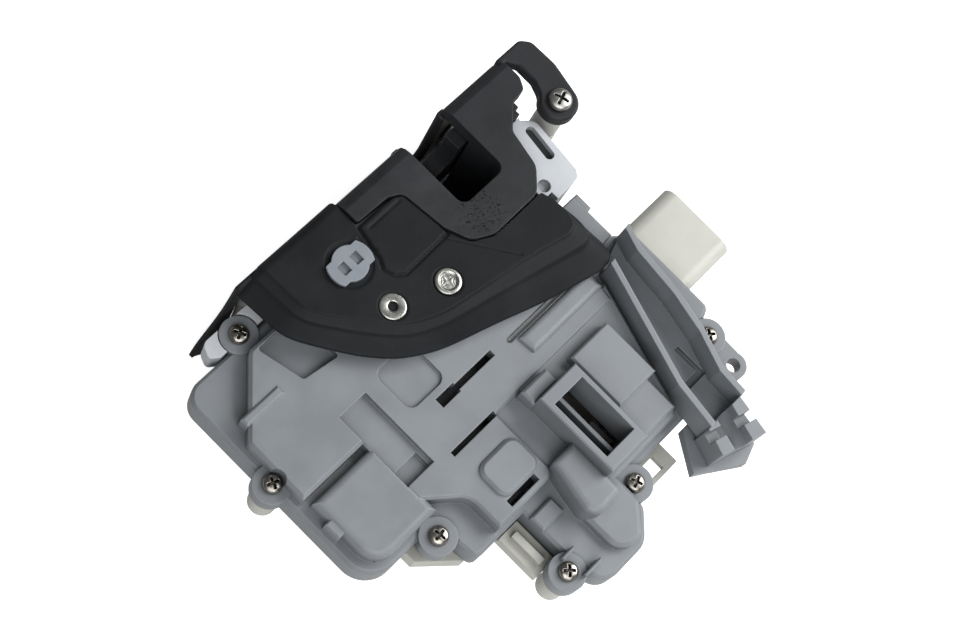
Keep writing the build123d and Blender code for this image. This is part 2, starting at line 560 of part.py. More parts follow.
def claw_face():
    """Outline of the claw, drawn open: hub, upper arm, lower arm and the tooth that the pawl holds."""
    outline = [(41.2, 42.2), (34.8, 42.2), (30.0, 38.0), rim(154.5, 27.8), rim(155.5, CLAW_RIM), rim(165, CLAW_RIM),
               rim(180, 29.0), rim(190, 27.0), rim(200, 25.0), rim(222, 19.5), rim(250, 12.5), rim(290, 9.4),
               rim(325, 8.3), rim(15, 8.3), rim(60, 8.3)]
    return rounded(outline, [2, 0, 0, 0, 0, 1.5, 0, 0, 0, 6, 4, 3, 3, 3, 2]) - throat(THROAT_R)


def claw_core():
    """The steel core of the claw: full at the tooth, slimmer where the jacket covers it."""
    bare = Pos(*rim(158, 31.5)) * Circle(5.2)
    inner = offset(claw_face(), -1.0, kind=Kind.INTERSECTION)
    return upright(inner, (CLAW_Y[0] + 1.2, CLAW_Y[1] - 1.2)) + upright(claw_face() & bare, CLAW_Y)


def claw():
    """The steel claw, with its bore."""
    return claw_core() - across(CLAW_X, CLAW_Z, (30, 60), PIN_R + RUN_FIT)


def claw_jacket():
    """The plastic jacket moulded round the claw, which quietens the striker."""
    jacket = upright(claw_face(), CLAW_Y) - claw_core()
    return jacket - across(CLAW_X, CLAW_Z, (30, 60), PIN_R + 1.5)


def stepped_pin(x, z, y0, y1):
    """A riveted axle: a thick bearing length between two thinner ends."""
    pin = across(x, z, (y0, y1), PIN_R)
    return pin + across(x, z, (CLAW_ROOM_Y - 5.5, y0), PIN_R - 1.5) + across(x, z, (y1, FACE_Y), PIN_R - 1.5)


def claw_pin():
    """The claw's axle."""
    return stepped_pin(CLAW_X, CLAW_Z, CLAW_ROOM_Y + 0.1, FACE_Y - PLATE_T)


def pawl_pin():
    """The pawl's axle."""
    return across(PAWL_X, PAWL_Z, (CLAW_ROOM_Y + 0.1, FACE_Y - PLATE_T), PAWL_PIN_R) + across(
        PAWL_X, PAWL_Z, (CLAW_ROOM_Y - 5.5, FACE_Y), PIN_R - 1.5)


PAWL_PIN_R = 2.7


def pawl():
    """The pawl: a boss, a nose that rides on the claw's rim and a tail with a release pin."""
    nose = [(17.85, 13.9), (14.9, 12.8), (11.5, 11.6), (7.0, 17.0), (5.7, 24.0), (5.7, 31.0), (14.2, 31.0),
            (14.2, 27.4), (15.3, 22.0), (16.7, 17.2)]
    tail = [(6.2, 31.0), (6.6, 41.0), (10.4, 41.0), (12.6, 34.5), (13.8, 31.0)]
    face = rounded(nose, [0, 0, 3, 4, 0, 0, 0, 0, 4, 3]) + Pos(PAWL_X, PAWL_Z) * Circle(4.3)
    face += rounded(tail, [0, 1.2, 1.2, 0, 0])
    body = upright(face, PAWL_Y) + across(8.5, 38.5, (33.5, PAWL_Y[0] + 1), 1.5)
    return body - across(PAWL_X, PAWL_Z, (30, 60), PAWL_PIN_R + RUN_FIT)


def coil(x, z, y, r, wire, arms):
    """A torsion spring as a closed ring of its outer shape with two legs."""
    ring = across(x, z, y, r) - across(x, z, (y[0] - 1, y[1] + 1), r - wire)
    for angle, length, depth in arms:
        leg = Pos(x, depth, z) * Rot(0, -angle, 0) * Pos(length / 2 + r - wire, 0, 0) * Box(length, wire, wire)
        ring += leg
    return ring


def claw_spring():
    """The claw's opening spring, round its axle behind the plate."""
    return coil(CLAW_X, CLAW_Z, (CLAW_Y[1] + 0.3, 47.7), 6.0, 1.2, [(20, 6.0, 46.5), (250, 8.0, 46.5)])


def pawl_spring():
    """The pawl's return spring, round its axle behind the plate."""
    return coil(PAWL_X, PAWL_Z, (PAWL_Y[1] + 0.3, 47.7), 4.6, 1.0, [(190, 7.0, 46.5), (80, 6.0, 46.5)])


def mouth_buffer():
    """The rubber stop at the bottom of the striker mouth, behind the claw."""
    y = (MOUTH_DEPTH_Y + 3.1, CLAW_ROOM_Y - 0.6)
    r = MOUTH_W / 2 - 0.1
    saddle = across(MOUTH_X, MOUTH_BOTTOM_Z + r + 0.1, y, r) - across(MOUTH_X, MOUTH_BOTTOM_Z + r + 2.4, y, r - 0.6)
    return saddle - box((0, 60), (0, 60), (MOUTH_BOTTOM_Z + 7.0, 60))


# ---------------------------------------------------------------------------
# Levers on the two rivets
# ---------------------------------------------------------------------------

HOLLOW_RIVET = (-15.9, 18.4)
SOLID_RIVET = (0.9, 13.1)
RIVET_R = 2.2
RIVET_HEAD_R = 4.0
LOWER_LEVER_Z = (36.5, 39.0)
UPPER_LEVER_Z = (39.5, 42.0)


def lever(face, at, z):
    """A flat lever with a round hub and a bore for its rivet."""
    hub = Pos(*at) * Circle(5.0)
    return slab(face + hub, z) - post(at[0], at[1], (0, 60), RIVET_R + RUN_FIT)


def release_lever():
    """The release lever: a long arm beside the pawl's pin and a short arm to the outside lever."""
    arm = rounded([(-3.6, 12.0), (-4.2, 30.0), (-3.2, 35.8), (0.6, 35.8), (1.2, 30.0), (5.4, 14.0)], [0, 2, 1.5, 1.5, 2, 0])
    short = rounded([(-1.0, 17.6), (-7.2, 17.4), (-7.2, 14.6), (-1.0, 9.6)], [0, 1, 1, 0])
    return lever(arm + short, SOLID_RIVET, LOWER_LEVER_Z)


def outside_lever():
    """The outside release lever: a finger under the release lever and an eye for the handle's rod."""
    x, y = HOLLOW_RIVET
    finger = rounded([(x + 2.0, y + 4.4), (-8.6, 17.0), (-6.8, 13.8), (-8.4, 11.9), (x - 1.0, y - 4.6)], [0, 0, 1, 1, 0])
    arm = rounded([(x - 2.0, y - 4.4), (-26.4, 24.0), (-25.6, 31.2), (x + 3.4, y + 3.6)], [0, 3, 3, 0])
    return lever(finger + arm, HOLLOW_RIVET, LOWER_LEVER_Z) - post(-23.6, 26.6, (0, 60), 2.0)


def inside_lever():
    """The inside release lever, above the release lever on the same rivet, with a seat for the cable's nipple."""
    arm = rounded([(0.0, 17.9), (17.0, 14.6), (36.0, 7.8), (40.4, 6.0), (39.8, 1.4), (35.0, 2.2), (18.0, 8.0), (1.0, 8.3)],
                  [0, 8, 0, 2, 2, 4, 8, 0])
    flat = lever(arm, SOLID_RIVET, UPPER_LEVER_Z)
    return flat - post(37.4, 4.3, (0, 60), 1.5)


def lever_bracket():
    """The steel bracket over the levers, which the rivets hold to the carrier."""
    face = rounded([(-24.0, 33.0), (-26.0, 27.0), (-17.5, 9.6), (-4.0, 7.0), (8.0, 8.6), (16.0, 33.0)], 4)
    plate = slab(face, (42.6, DECK_Z - 0.9))
    for x, y in (HOLLOW_RIVET, SOLID_RIVET):
        plate -= post(x, y, (0, 60), RIVET_R)
    return plate


def rivet(at, head_z):
    """A rivet: shank through the bracket, levers and carrier, with a wide flat head."""
    shank = post(at[0], at[1], (LEVER_ROOM_Z - 5.0, head_z), RIVET_R)
    head = post(at[0], at[1], (head_z, head_z + 1.6), RIVET_HEAD_R)
    head = chamfer(head.faces().sort_by(Axis.Z)[-1].edges(), 0.5)
    return shank + head


def hollow_rivet():
    """The hollow rivet of the outside lever."""
    return rivet(HOLLOW_RIVET, DECK_Z + 2.6) - post(*HOLLOW_RIVET, (0, 60), 1.5)


def solid_rivet():
    """The solid rivet of the release and inside levers, with a raised centre."""
    x, y = SOLID_RIVET
    return rivet(SOLID_RIVET, DECK_Z + 2.6) + post(x, y, (DECK_Z + 4.2, DECK_Z + 4.6), 2.4)


# ---------------------------------------------------------------------------
# Striker frame, edge seal and plug
# ---------------------------------------------------------------------------

FRAME_EDGE = [(-6.2, 50.3), (-6.2, 42.0), (5.6, 41.6), (9.6, 39.6), (11.2, 25.0), (14.4, 17.0), (21.0, 13.8),
              (39.0, 14.0), (45.0, 20.0), (47.5, 31.8), (54.5, 38.0), (59.5, 38.4), (61.5, 42.0), (61.5, 50.3)]
ARM = [(60.5, 50.3), (70.3, 50.3), (72.9, 47.5), (73.2, 38.2), (71.2, 28.5), (65.3, 27.0), (59.9, 31.2),
       (63.0, 35.2), (64.4, 38.8), (64.4, 45.0), (62.2, 47.9), (60.5, 47.9)]
ARM_EYE = (65.3, 29.2)
ARM_EYE_R = 5.9


def frame_face():
    """Plan of the striker frame without its arm."""
    return rounded(FRAME_EDGE, [0, 1, 0, 3, 4, 6, 6, 5, 6, 3, 3, 2, 3, 3])


def striker_frame():
    """The black frame round the striker mouth: its liner, its rounded shut edge and the hooked arm."""
    solid = slab(frame_face(), (DECK_Z + 0.1, FRAME_Z))
    bend = Plane.YZ * make_face(Polyline((46.7, FRAME_Z + 1), (46.7, FRAME_Z), (48.4, FRAME_Z - 0.5), (49.8, FRAME_Z - 1.8),
                                         (50.3, FRAME_Z - 3.6), (52.0, FRAME_Z - 3.6), (52.0, FRAME_Z + 1), close=True))
    solid -= extrude(bend, 90, both=True)
    solid += slab(rounded(ARM, [0, 2.5, 3, 8, 0, 0, 0, 3, 3, 2, 0, 0]), (DECK_Z + 0.6, FRAME_Z - 0.4), broken=0.6)
    solid += slab(Pos(*ARM_EYE) * Circle(ARM_EYE_R), (DECK_Z + 0.6, FRAME_Z - 0.4), broken=0.6)
    solid += box((48.0, 56.8), (34.6, 38.8), (38.2, DECK_Z + 0.2)) - box((55.4, 58.0), (34.0, 36.4), (30, 60))
    liner_y = (MOUTH_DEPTH_Y - LINER_T, CLAW_ROOM_Y - 0.2)
    solid += mouth_cut(liner_y, MOUTH_BOTTOM_Z - LINER_T, MOUTH_W + 2 * LINER_T, DECK_Z + 0.2)
    solid -= mouth_cut((MOUTH_DEPTH_Y + 3.0, 60.0), MOUTH_BOTTOM_Z)
    corners = [(20.0, MOUTH_DEPTH_Y), (37.6, MOUTH_DEPTH_Y), (37.6, 52.0), (20.0, 52.0)]
    solid -= slab(rounded(corners, [3, 3, 0, 0]), (MOUTH_BOTTOM_Z + MOUTH_W / 2, 60))
    return solid - post(*ARM_EYE, (0, 60), 2.2)


def frame_post():
    """The post under the frame's arm, on a bracket screwed behind the carrier."""
    solid = post(*ARM_EYE, (26.0, DECK_Z + 0.5), 4.3)
    solid += box((58.15, 65.0), (24.6, 31.0), (26.0, 33.0))
    return solid - post(*ARM_EYE, (30.0, 60), 1.8)


def frame_screw():
    """The zinc-plated screw in the frame's arm."""
    return screw(*ARM_EYE, FRAME_Z - 0.4, 3.6, 1.75, 16.0, 2.6)


SEAL_PANEL = [(-34.0, 50.3), (-34.0, 33.0), (-24.0, 21.0), (-15.9, 10.2), (-6.0, 4.8), (40.3, -1.0), (43.8, 6.5),
              (40.0, 13.4)]
SEAL_LIP = [(-43.6, 50.3), (-41.6, 33.4), (-30.0, 16.0), (-22.3, 7.8), (-12.7, 1.4), (45.5, -14.0), (47.3, -6.3),
            (42.5, 13.4)]
SEAL_GAP = 0.4
LIP_Z = 43.0


def seal_outline(points, past=0.0):
    """A closed plan of the seal, which runs on under the striker frame until the frame's outline cuts it."""
    first = (points[0][0], points[0][1] + past)
    return make_face(Polyline(first, *points[1:], (30.0, 30.0), (0.0, 50.3 + past), close=True))


def seal_lip():
    """The sloping lip: a tapered plan shape from which the same shape, set lower, is taken away."""
    block = Pos(0, 0, LIP_Z) * extrude(seal_outline(SEAL_LIP, 14.0), 5.0, taper=58)
    return (block - Pos(0, 0, -1.7) * block) & box((-80, 80), (-80, 50.3), (30, 60))


def edge_seal():
    """The rubber seal: a panel round the striker frame, a lip over the cover and an edge down the shut face."""
    solid = slab(seal_outline(SEAL_PANEL), (DECK_Z, DECK_Z + 4.0), broken=0.7)
    solid += seal_lip()
    rim = seal_outline(SEAL_LIP)
    solid += slab(rim, (LIP_Z - 0.7, LIP_Z + 0.1)) - slab(offset(rim, -1.4, kind=Kind.INTERSECTION), (40, 44))
    solid += box((-43.0, -6.8), (FACE_Y + 0.05, FACE_Y + 1.6), (36.0, DECK_Z + 3.0))
    solid += box((-43.0, -6.8), (47.0, FACE_Y + 1.6), (DECK_Z, DECK_Z + 3.0))
    solid += loft([Pos(-51.4, 51.4, 2.0) * Rectangle(1.6, 4.8), Pos(-42.2, 50.55, DECK_Z + 2) * Rectangle(1.6, 3.1)])
    solid -= slab(offset(frame_face(), SEAL_GAP, kind=Kind.INTERSECTION), (30, 60))
    solid -= box((-45.0, 0.0), (47.8, FACE_Y), (30, PLATE_Z[1]))
    solid -= slab(rounded(CARRIER, CARRIER_R), (30, DECK_Z - 1.0))
    for at in (HOLLOW_RIVET, SOLID_RIVET):
        solid -= post(*at, (40, 60), RIVET_HEAD_R + 0.3)
    solid -= post(*PLUG, (40, 60), 5.4)
    return solid


PLUG = (-16.3, 34.9)


def seal_plug():
    """The quarter-turn plug: a round core with two lugs and two windows."""
    x, y = PLUG
    core = Pos(x, y) * (Circle(5.3) + (Circle(6.9) & Rectangle(16, 7.6)))
    face = core - Pos(x + 2.4, y) * Rectangle(2.6, 3.4) - Pos(x - 2.4, y) * Rectangle(2.6, 3.4)
    return slab(face, (DECK_Z + 4.1, DECK_Z + 5.3)) + post(x, y, (DECK_Z + 1.0, DECK_Z + 4.15), 5.1)


# ---------------------------------------------------------------------------
# Write every sub-part
# ---------------------------------------------------------------------------

PARTS = [cover_shell, gear_cover, rear_shell, connector_shroud, connector_pins, lead_frame, motor, worm, worm_wheel, wheel_pin,
         lock_slider, switch_body, switch_plunger, cover_screws, cable_guide, latch_plate, latch_carrier, claw,
         claw_jacket, claw_pin, pawl_pin, pawl, claw_spring, pawl_spring, mouth_buffer, release_lever,
         outside_lever, inside_lever, lever_bracket, hollow_rivet, solid_rivet, striker_frame, frame_post,
         frame_screw, edge_seal, seal_plug]


def main():
    os.makedirs("parts", exist_ok=True)
    for make in PARTS:
        made = make()
        save(make.__name__, *(made if isinstance(made, list) else [made]))


main()
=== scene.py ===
"""Finishes, rubber seal, springs and studio of a door latch actuator, laid out as an add-on."""

import json
import math

import bpy
import numpy as np
from mathutils import Matrix, Vector

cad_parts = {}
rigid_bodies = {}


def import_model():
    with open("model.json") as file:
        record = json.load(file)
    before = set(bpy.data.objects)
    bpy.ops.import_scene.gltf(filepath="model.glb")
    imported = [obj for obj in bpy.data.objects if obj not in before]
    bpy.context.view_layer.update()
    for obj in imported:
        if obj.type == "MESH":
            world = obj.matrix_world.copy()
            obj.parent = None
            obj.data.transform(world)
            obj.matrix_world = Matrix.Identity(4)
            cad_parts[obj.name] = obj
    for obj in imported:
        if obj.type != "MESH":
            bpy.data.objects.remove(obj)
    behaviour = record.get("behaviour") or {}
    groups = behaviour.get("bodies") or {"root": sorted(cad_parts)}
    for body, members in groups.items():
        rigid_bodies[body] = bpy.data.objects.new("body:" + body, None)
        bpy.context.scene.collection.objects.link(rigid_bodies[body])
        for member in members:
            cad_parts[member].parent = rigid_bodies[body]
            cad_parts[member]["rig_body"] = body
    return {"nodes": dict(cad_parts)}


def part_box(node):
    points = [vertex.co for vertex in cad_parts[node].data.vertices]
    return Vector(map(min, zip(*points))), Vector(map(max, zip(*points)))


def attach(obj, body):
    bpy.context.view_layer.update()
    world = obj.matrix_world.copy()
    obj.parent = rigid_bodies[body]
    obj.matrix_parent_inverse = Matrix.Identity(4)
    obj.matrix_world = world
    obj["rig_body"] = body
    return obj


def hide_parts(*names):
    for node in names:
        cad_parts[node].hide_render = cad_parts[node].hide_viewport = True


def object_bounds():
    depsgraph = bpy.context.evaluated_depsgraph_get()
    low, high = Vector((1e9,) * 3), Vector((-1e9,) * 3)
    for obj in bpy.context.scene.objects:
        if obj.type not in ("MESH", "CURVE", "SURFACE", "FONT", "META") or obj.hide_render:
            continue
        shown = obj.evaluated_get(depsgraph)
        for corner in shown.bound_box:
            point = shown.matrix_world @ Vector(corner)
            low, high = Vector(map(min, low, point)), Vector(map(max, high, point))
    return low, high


bl_info = {
    "name": "Door latch actuator",
    "version": (1, 0, 0),
    "blender": (4, 5, 0),
    "location": "3D Viewport > Sidebar > Latch",
    "description": "Finishes, rubber seal, springs and studio of a door latch actuator",
    "category": "Object",
}

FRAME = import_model()
NODES = FRAME["nodes"]
CAD_BOX = [list(corner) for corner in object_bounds()]
MM = 0.001


def body_of(node):
    """The moving body that carries a CAD node."""
    return NODES[node]["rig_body"]


# ---------------------------------------------------------------------------
# Node trees
# ---------------------------------------------------------------------------

class Tree:
    """Short ways to add nodes to one node tree."""

    def __init__(self, tree):
        self.tree = tree
        tree.nodes.clear()

    def add(self, kind, inputs=None, **settings):
        """One node, its settings, and its inputs as values or as sockets to link from."""
        node = self.tree.nodes.new("ShaderNode" + kind)
        for name, value in settings.items():
            setattr(node, name, value)
        for name, value in (inputs or {}).items():
            if isinstance(value, bpy.types.NodeSocket):
                self.tree.links.new(value, node.inputs[name])
            else:
                node.inputs[name].default_value = value
        return node

    def math(self, operation, a, b=0.0, clamp=False):
        """Two numbers, or number sockets, through one operation."""
        return self.add("Math", {0: a, 1: b}, operation=operation, use_clamp=clamp).outputs[0]

    def spread(self, value, low, high, to_low=0.0, to_high=1.0):
        """A value's range from low to high, turned smoothly into another."""
        sockets = {"Value": value, "From Min": low, "From Max": high, "To Min": to_low, "To Max": to_high}
        return self.add("MapRange", sockets, interpolation_type="SMOOTHSTEP").outputs["Result"]

    def noise(self, vector, scale, detail=2.0, roughness=0.5):
        """The value of a noise texture, with scale in features per metre."""
        sockets = {"Vector": vector, "Scale": scale, "Detail": detail, "Roughness": roughness}
        return self.add("TexNoise", sockets).outputs["Fac"]

    def mix(self, factor, a, b):
        """Two colours, or colour sockets, blended by a factor."""
        node = self.add("Mix", data_type="RGBA")
        for index, value in ((0, factor), (6, a), (7, b)):
            if isinstance(value, bpy.types.NodeSocket):
                self.tree.links.new(value, node.inputs[index])
            else:
                node.inputs[index].default_value = value
        return node.outputs[2]

    def place(self):
        """The point on the piece, in its own coordinates."""
        return self.add("TexCoord").outputs["Object"]


def effect(name, inputs, outputs):
    """A new node group with named inputs (name, kind, default) and outputs (name, kind)."""
    tree = bpy.data.node_groups.new(name, "ShaderNodeTree")
    for label, kind, default in inputs:
        tree.interface.new_socket(label, in_out="INPUT", socket_type="NodeSocket" + kind).default_value = default
    for label, kind in outputs:
        tree.interface.new_socket(label, in_out="OUTPUT", socket_type="NodeSocket" + kind)
    made = Tree(tree)
    return made, made.tree.nodes.new("NodeGroupInput").outputs, made.tree.nodes.new("NodeGroupOutput").inputs


def moulded_grain():
    """The fine spark-eroded grain of a mould, with slow sink and flow marks under it."""
    t, given, out = effect("moulded_grain", [("Grain", "Float", 2600.0), ("Flow", "Float", 55.0)],
                           [("Height", "Float"), ("Mottle", "Float")])
    at = t.place()
    grain = t.noise(at, given["Grain"], 3.0, 0.6)
    flow = t.noise(at, given["Flow"], 4.0, 0.55)
    t.tree.links.new(t.math("ADD", grain, t.math("MULTIPLY", flow, 1.5)), out["Height"])
    t.tree.links.new(t.spread(flow, 0.32, 0.68), out["Mottle"])
    return t.tree


def rubbed_edge():
    """A mask along a piece's edges, broken up by noise, where handling has rubbed it."""
    t, given, out = effect("rubbed_edge", [("Radius", "Float", 0.0005), ("Breaks", "Float", 300.0),
                                           ("Gain", "Float", 3.0)], [("Mask", "Float")])
    rounded = t.add("Bevel", {"Radius": given["Radius"]}, samples=6).outputs["Normal"]
    flat = t.add("NewGeometry").outputs["Normal"]
    turn = t.add("VectorMath", {0: rounded, 1: flat}, operation="DOT_PRODUCT").outputs["Value"]
    edge = t.math("MULTIPLY", t.math("SUBTRACT", 1.0, turn), given["Gain"], clamp=True)
    breaks = t.spread(t.noise(t.place(), given["Breaks"], 3.0), 0.3, 0.6, 0.35, 1.0)
    t.tree.links.new(t.math("MULTIPLY", edge, breaks), out["Mask"])
    return t.tree


def deep_shade():
    """A mask of how far a point lies in a corner or a recess, for painted shade: the colour is darkened there, where
    light doesn't reach.
    """
    t, given, out = effect("deep_shade", [("Reach", "Float", 0.004)], [("Mask", "Float")])
    open_share = t.add("AmbientOcclusion", {"Distance": given["Reach"]}, samples=8).outputs["AO"]
    t.tree.links.new(t.spread(open_share, 0.25, 0.92, 1.0, 0.0), out["Mask"])
    return t.tree


def settled_dust():
    """Pale specks and a thin film that lie on the faces that look upwards."""
    t, given, out = effect("settled_dust", [("Specks", "Float", 420.0), ("Cover", "Float", 0.5)], [("Mask", "Float")])
    at = t.place()
    up = t.add("SeparateXYZ", {0: t.add("NewGeometry").outputs["Normal"]}).outputs["Z"]
    sockets = {"Vector": at, "Scale": given["Specks"], "Randomness": 1.0}
    cells = t.add("TexVoronoi", sockets).outputs["Distance"]
    speck = t.spread(cells, 0.02, 0.16, 1.0, 0.0)
    chosen = t.spread(t.noise(at, 130.0, 2.0), 0.56, 0.7)
    film = t.spread(t.noise(at, 36.0, 5.0, 0.65), 0.4, 0.75, 0.0, 0.45)
    both = t.math("MAXIMUM", t.math("MULTIPLY", speck, chosen), film)
    t.tree.links.new(t.math("MULTIPLY", t.math("MULTIPLY", both, t.spread(up, 0.2, 0.9)), given["Cover"]), out["Mask"])
    return t.tree


def residue_patch():
    """A round patch of dried blotches: noise with a hard edge that fades out from the patch's centre."""
    t, given, out = effect("residue_patch", [("Centre", "Vector", (0.0, 0.0, 0.0)), ("Radius", "Float", 0.01)],
                           [("Mask", "Float")])
    at = t.place()
    away = t.add("VectorMath", {0: at, 1: given["Centre"]}, operation="DISTANCE").outputs["Value"]
    inside = t.spread(t.math("DIVIDE", away, given["Radius"]), 0.35, 1.0, 1.0, 0.0)
    blots = t.noise(at, 820.0, 5.0, 0.75)
    spots = t.spread(t.math("ADD", blots, t.math("MULTIPLY", inside, 0.14)), 0.66, 0.72)
    t.tree.links.new(t.math("MULTIPLY", spots, inside), out["Mask"])
    return t.tree


def worked_metal():
    """Plated metal: a fine pebble of crystals, drawn lines along X, and cloudy stains."""
    t, given, out = effect("worked_metal", [("Crystals", "Float", 1800.0), ("Lines", "Float", 0.3)],
                           [("Height", "Float"), ("Stain", "Float")])
    at = t.place()
    drawn = t.add("Mapping", {"Vector": at, "Scale": (60.0, 2600.0, 2600.0)}).outputs["Vector"]
    lines = t.math("MULTIPLY", t.noise(drawn, 1.0, 2.0), given["Lines"])
    pebble = t.noise(at, given["Crystals"], 3.0, 0.6)
    t.tree.links.new(t.math("ADD", lines, pebble), out["Height"])
    t.tree.links.new(t.spread(t.noise(at, 260.0, 4.0, 0.6), 0.35, 0.7), out["Stain"])
    return t.tree


# ---------------------------------------------------------------------------
# Finishes
# ---------------------------------------------------------------------------

def shader(name):
    """A new material with its Principled shader, ready for a finish."""
    material = bpy.data.materials.new(name)
    material.use_nodes = True
    tree = Tree(material.node_tree)
    principled = tree.add("BsdfPrincipled")
    output = tree.add("OutputMaterial", {"Surface": principled.outputs["BSDF"]})
    output.location.x = 400
    return material, tree, principled


def group(tree, name, **inputs):
    """One of the shared effects, placed in a material with its own values."""
    node = tree.add("Group", node_tree=bpy.data.node_groups[name])
    for label, value in inputs.items():
        node.inputs[label].default_value = value
    return node.outputs


def tint(colour, gain):
    """A colour made lighter or darker, with full alpha."""
    return [min(channel * gain, 1.0) for channel in colour[:3]] + [1.0]


def relief(tree, principled, height, depth, radius):
    """Bump from a height, on normals softened over the edges by a small radius."""
    soft = tree.add("Bevel", {"Radius": radius}, samples=6).outputs["Normal"]
    bump = tree.add("Bump", {"Strength": 0.9, "Distance": depth, "Height": height, "Normal": soft})
    tree.tree.links.new(bump.outputs["Normal"], principled.inputs["Normal"])


def moulded(name, colour, rough=0.5, grain=2600.0, depth=0.00002, edge=1.35, dust=0.0, radius=0.35, milky=0.0,
             shade_tint=0.68):
    """Moulded plastic: grain and flow marks, rubbed edges, some dust, painted shade in corners and recesses, and a
    milky depth if it is pale.
    """
    material, t, principled = shader(name)
    skin = group(t, "moulded_grain", Grain=grain)
    rubbed = group(t, "rubbed_edge", Radius=1.6 * radius * MM)["Mask"]
    tone = t.mix(skin["Mottle"], tint(colour, 0.93), tint(colour, 1.06))
    tone = t.mix(rubbed, tone, tint(colour, edge))
    # Painted shade: the colour darkens towards the tint in corners and recesses, by the occlusion mask.
    tone = t.mix(group(t, "deep_shade", Reach=0.006)["Mask"], tone, tint(colour, shade_tint))
    if dust:
        tone = t.mix(group(t, "settled_dust", Cover=dust)["Mask"], tone, (0.34, 0.35, 0.36, 1.0))
    t.tree.links.new(tone, principled.inputs["Base Color"])
    t.tree.links.new(t.spread(skin["Mottle"], 0.0, 1.0, rough - 0.05, rough + 0.06), principled.inputs["Roughness"])
    relief(t, principled, skin["Height"], depth, radius * MM)
    if milky:
        principled.inputs["Subsurface Weight"].default_value = milky
        principled.inputs["Subsurface Radius"].default_value = (0.0016, 0.0014, 0.0012)
    principled.inputs["Specular IOR Level"].default_value = 0.42
    return material


def striker_black(name, colour, centre, radius):
    """The frame's black plastic, with the dried blotches below the striker mouth."""
    material, t, principled = shader(name)
    skin = group(t, "moulded_grain", Grain=2100.0)
    rubbed = group(t, "rubbed_edge", Radius=0.0008)["Mask"]
    blots = group(t, "residue_patch", Centre=centre, Radius=radius)["Mask"]
    dust = group(t, "settled_dust", Cover=0.25, Specks=300.0)["Mask"]
    tone = t.mix(skin["Mottle"], tint(colour, 0.85), tint(colour, 1.15))
    tone = t.mix(rubbed, tone, tint(colour, 2.2))
    tone = t.mix(dust, tone, (0.12, 0.125, 0.13, 1.0))
    t.tree.links.new(t.mix(blots, tone, tint(colour, 0.35)), principled.inputs["Base Color"])
    rough = t.spread(skin["Mottle"], 0.0, 1.0, 0.42, 0.54)
    t.tree.links.new(t.math("SUBTRACT", rough, t.math("MULTIPLY", blots, 0.2)), principled.inputs["Roughness"])
    height = t.math("ADD", skin["Height"], t.math("MULTIPLY", blots, 1.5))
    relief(t, principled, height, 0.00002, 0.0005)
    principled.inputs["Specular IOR Level"].default_value = 0.2
    return material


def rubber(name, colour):
    """Dull black rubber: a fine grain, a pale bloom and dust, and a soft sheen."""
    material, t, principled = shader(name)
    skin = group(t, "moulded_grain", Grain=1500.0, Flow=40.0)
    dust = group(t, "settled_dust", Cover=0.32, Specks=520.0)["Mask"]
    rubbed = group(t, "rubbed_edge", Radius=0.0007, Gain=2.0)["Mask"]
    tone = t.mix(skin["Mottle"], tint(colour, 0.85), tint(colour, 1.2))
    tone = t.mix(rubbed, tone, tint(colour, 1.9))
    t.tree.links.new(t.mix(dust, tone, (0.04, 0.043, 0.047, 1.0)), principled.inputs["Base Color"])
    t.tree.links.new(t.spread(skin["Mottle"], 0.0, 1.0, 0.5, 0.62), principled.inputs["Roughness"])
    relief(t, principled, skin["Height"], 0.000035, 0.0003)
    principled.inputs["Specular IOR Level"].default_value = 0.12
    principled.inputs["Sheen Weight"].default_value = 0.02
    principled.inputs["Sheen Roughness"].default_value = 0.6
    return material


def metal(name, colour, rough=0.3, stain=0.7, depth=0.000012, crystals=1800.0, lines=0.3, whole=1.0,
          reach=0.0013):
    """Plated or bare metal: crystals, drawn lines, cloudy stains, brighter rubbed edges, and painted shade near black
    in bores and recesses.
    """
    material, t, principled = shader(name)
    work = group(t, "worked_metal", Crystals=crystals, Lines=lines)
    rubbed = group(t, "rubbed_edge", Radius=0.0003, Gain=2.5)["Mask"]
    tone = t.mix(work["Stain"], tint(colour, stain), tint(colour, 1.0))
    tone = t.mix(rubbed, tone, tint(colour, 1.2))
    # Painted shade: the colour falls almost to black in bores and recesses, by the occlusion mask.
    painted_recess_shade = group(t, "deep_shade", Reach=reach)["Mask"]
    t.tree.links.new(t.mix(painted_recess_shade, tone, tint(colour, 0.08)), principled.inputs["Base Color"])
    t.tree.links.new(t.spread(work["Stain"], 0.0, 1.0, rough + 0.14, rough), principled.inputs["Roughness"])
    principled.inputs["Metallic"].default_value = whole
    relief(t, principled, work["Height"], depth, 0.0002)
    return material


# ---------------------------------------------------------------------------
# Surfaces
# ---------------------------------------------------------------------------

def shell_faces(rows, columns, base=0):
    """Quads of a grid of rows by columns, as an array of four corner numbers each."""
    r, c = np.meshgrid(np.arange(rows - 1), np.arange(columns - 1), indexing="ij")
    first = (base + r * columns + c).ravel()
    return np.stack([first, first + 1, first + columns + 1, first + columns], 1)


def closed_sheet(top, under):
    """A sheet with thickness: an upper and a lower grid of points, and a rim of quads round all four sides."""
    rows, columns = top.shape[:2]
    upper = shell_faces(rows, columns)
    lower = shell_faces(rows, columns, rows * columns)[:, ::-1]
    index = np.arange(rows * columns).reshape(rows, columns)
    ring = np.concatenate([index[0, :-1], index[:-1, -1], index[-1, :0:-1], index[:0:-1, 0]])
    after = np.roll(ring, -1)
    rim = np.stack([after, ring, ring + rows * columns, after + rows * columns], 1)
    points = np.concatenate([top.reshape(-1, 3), under.reshape(-1, 3)])
    return points, np.concatenate([upper, lower, rim])


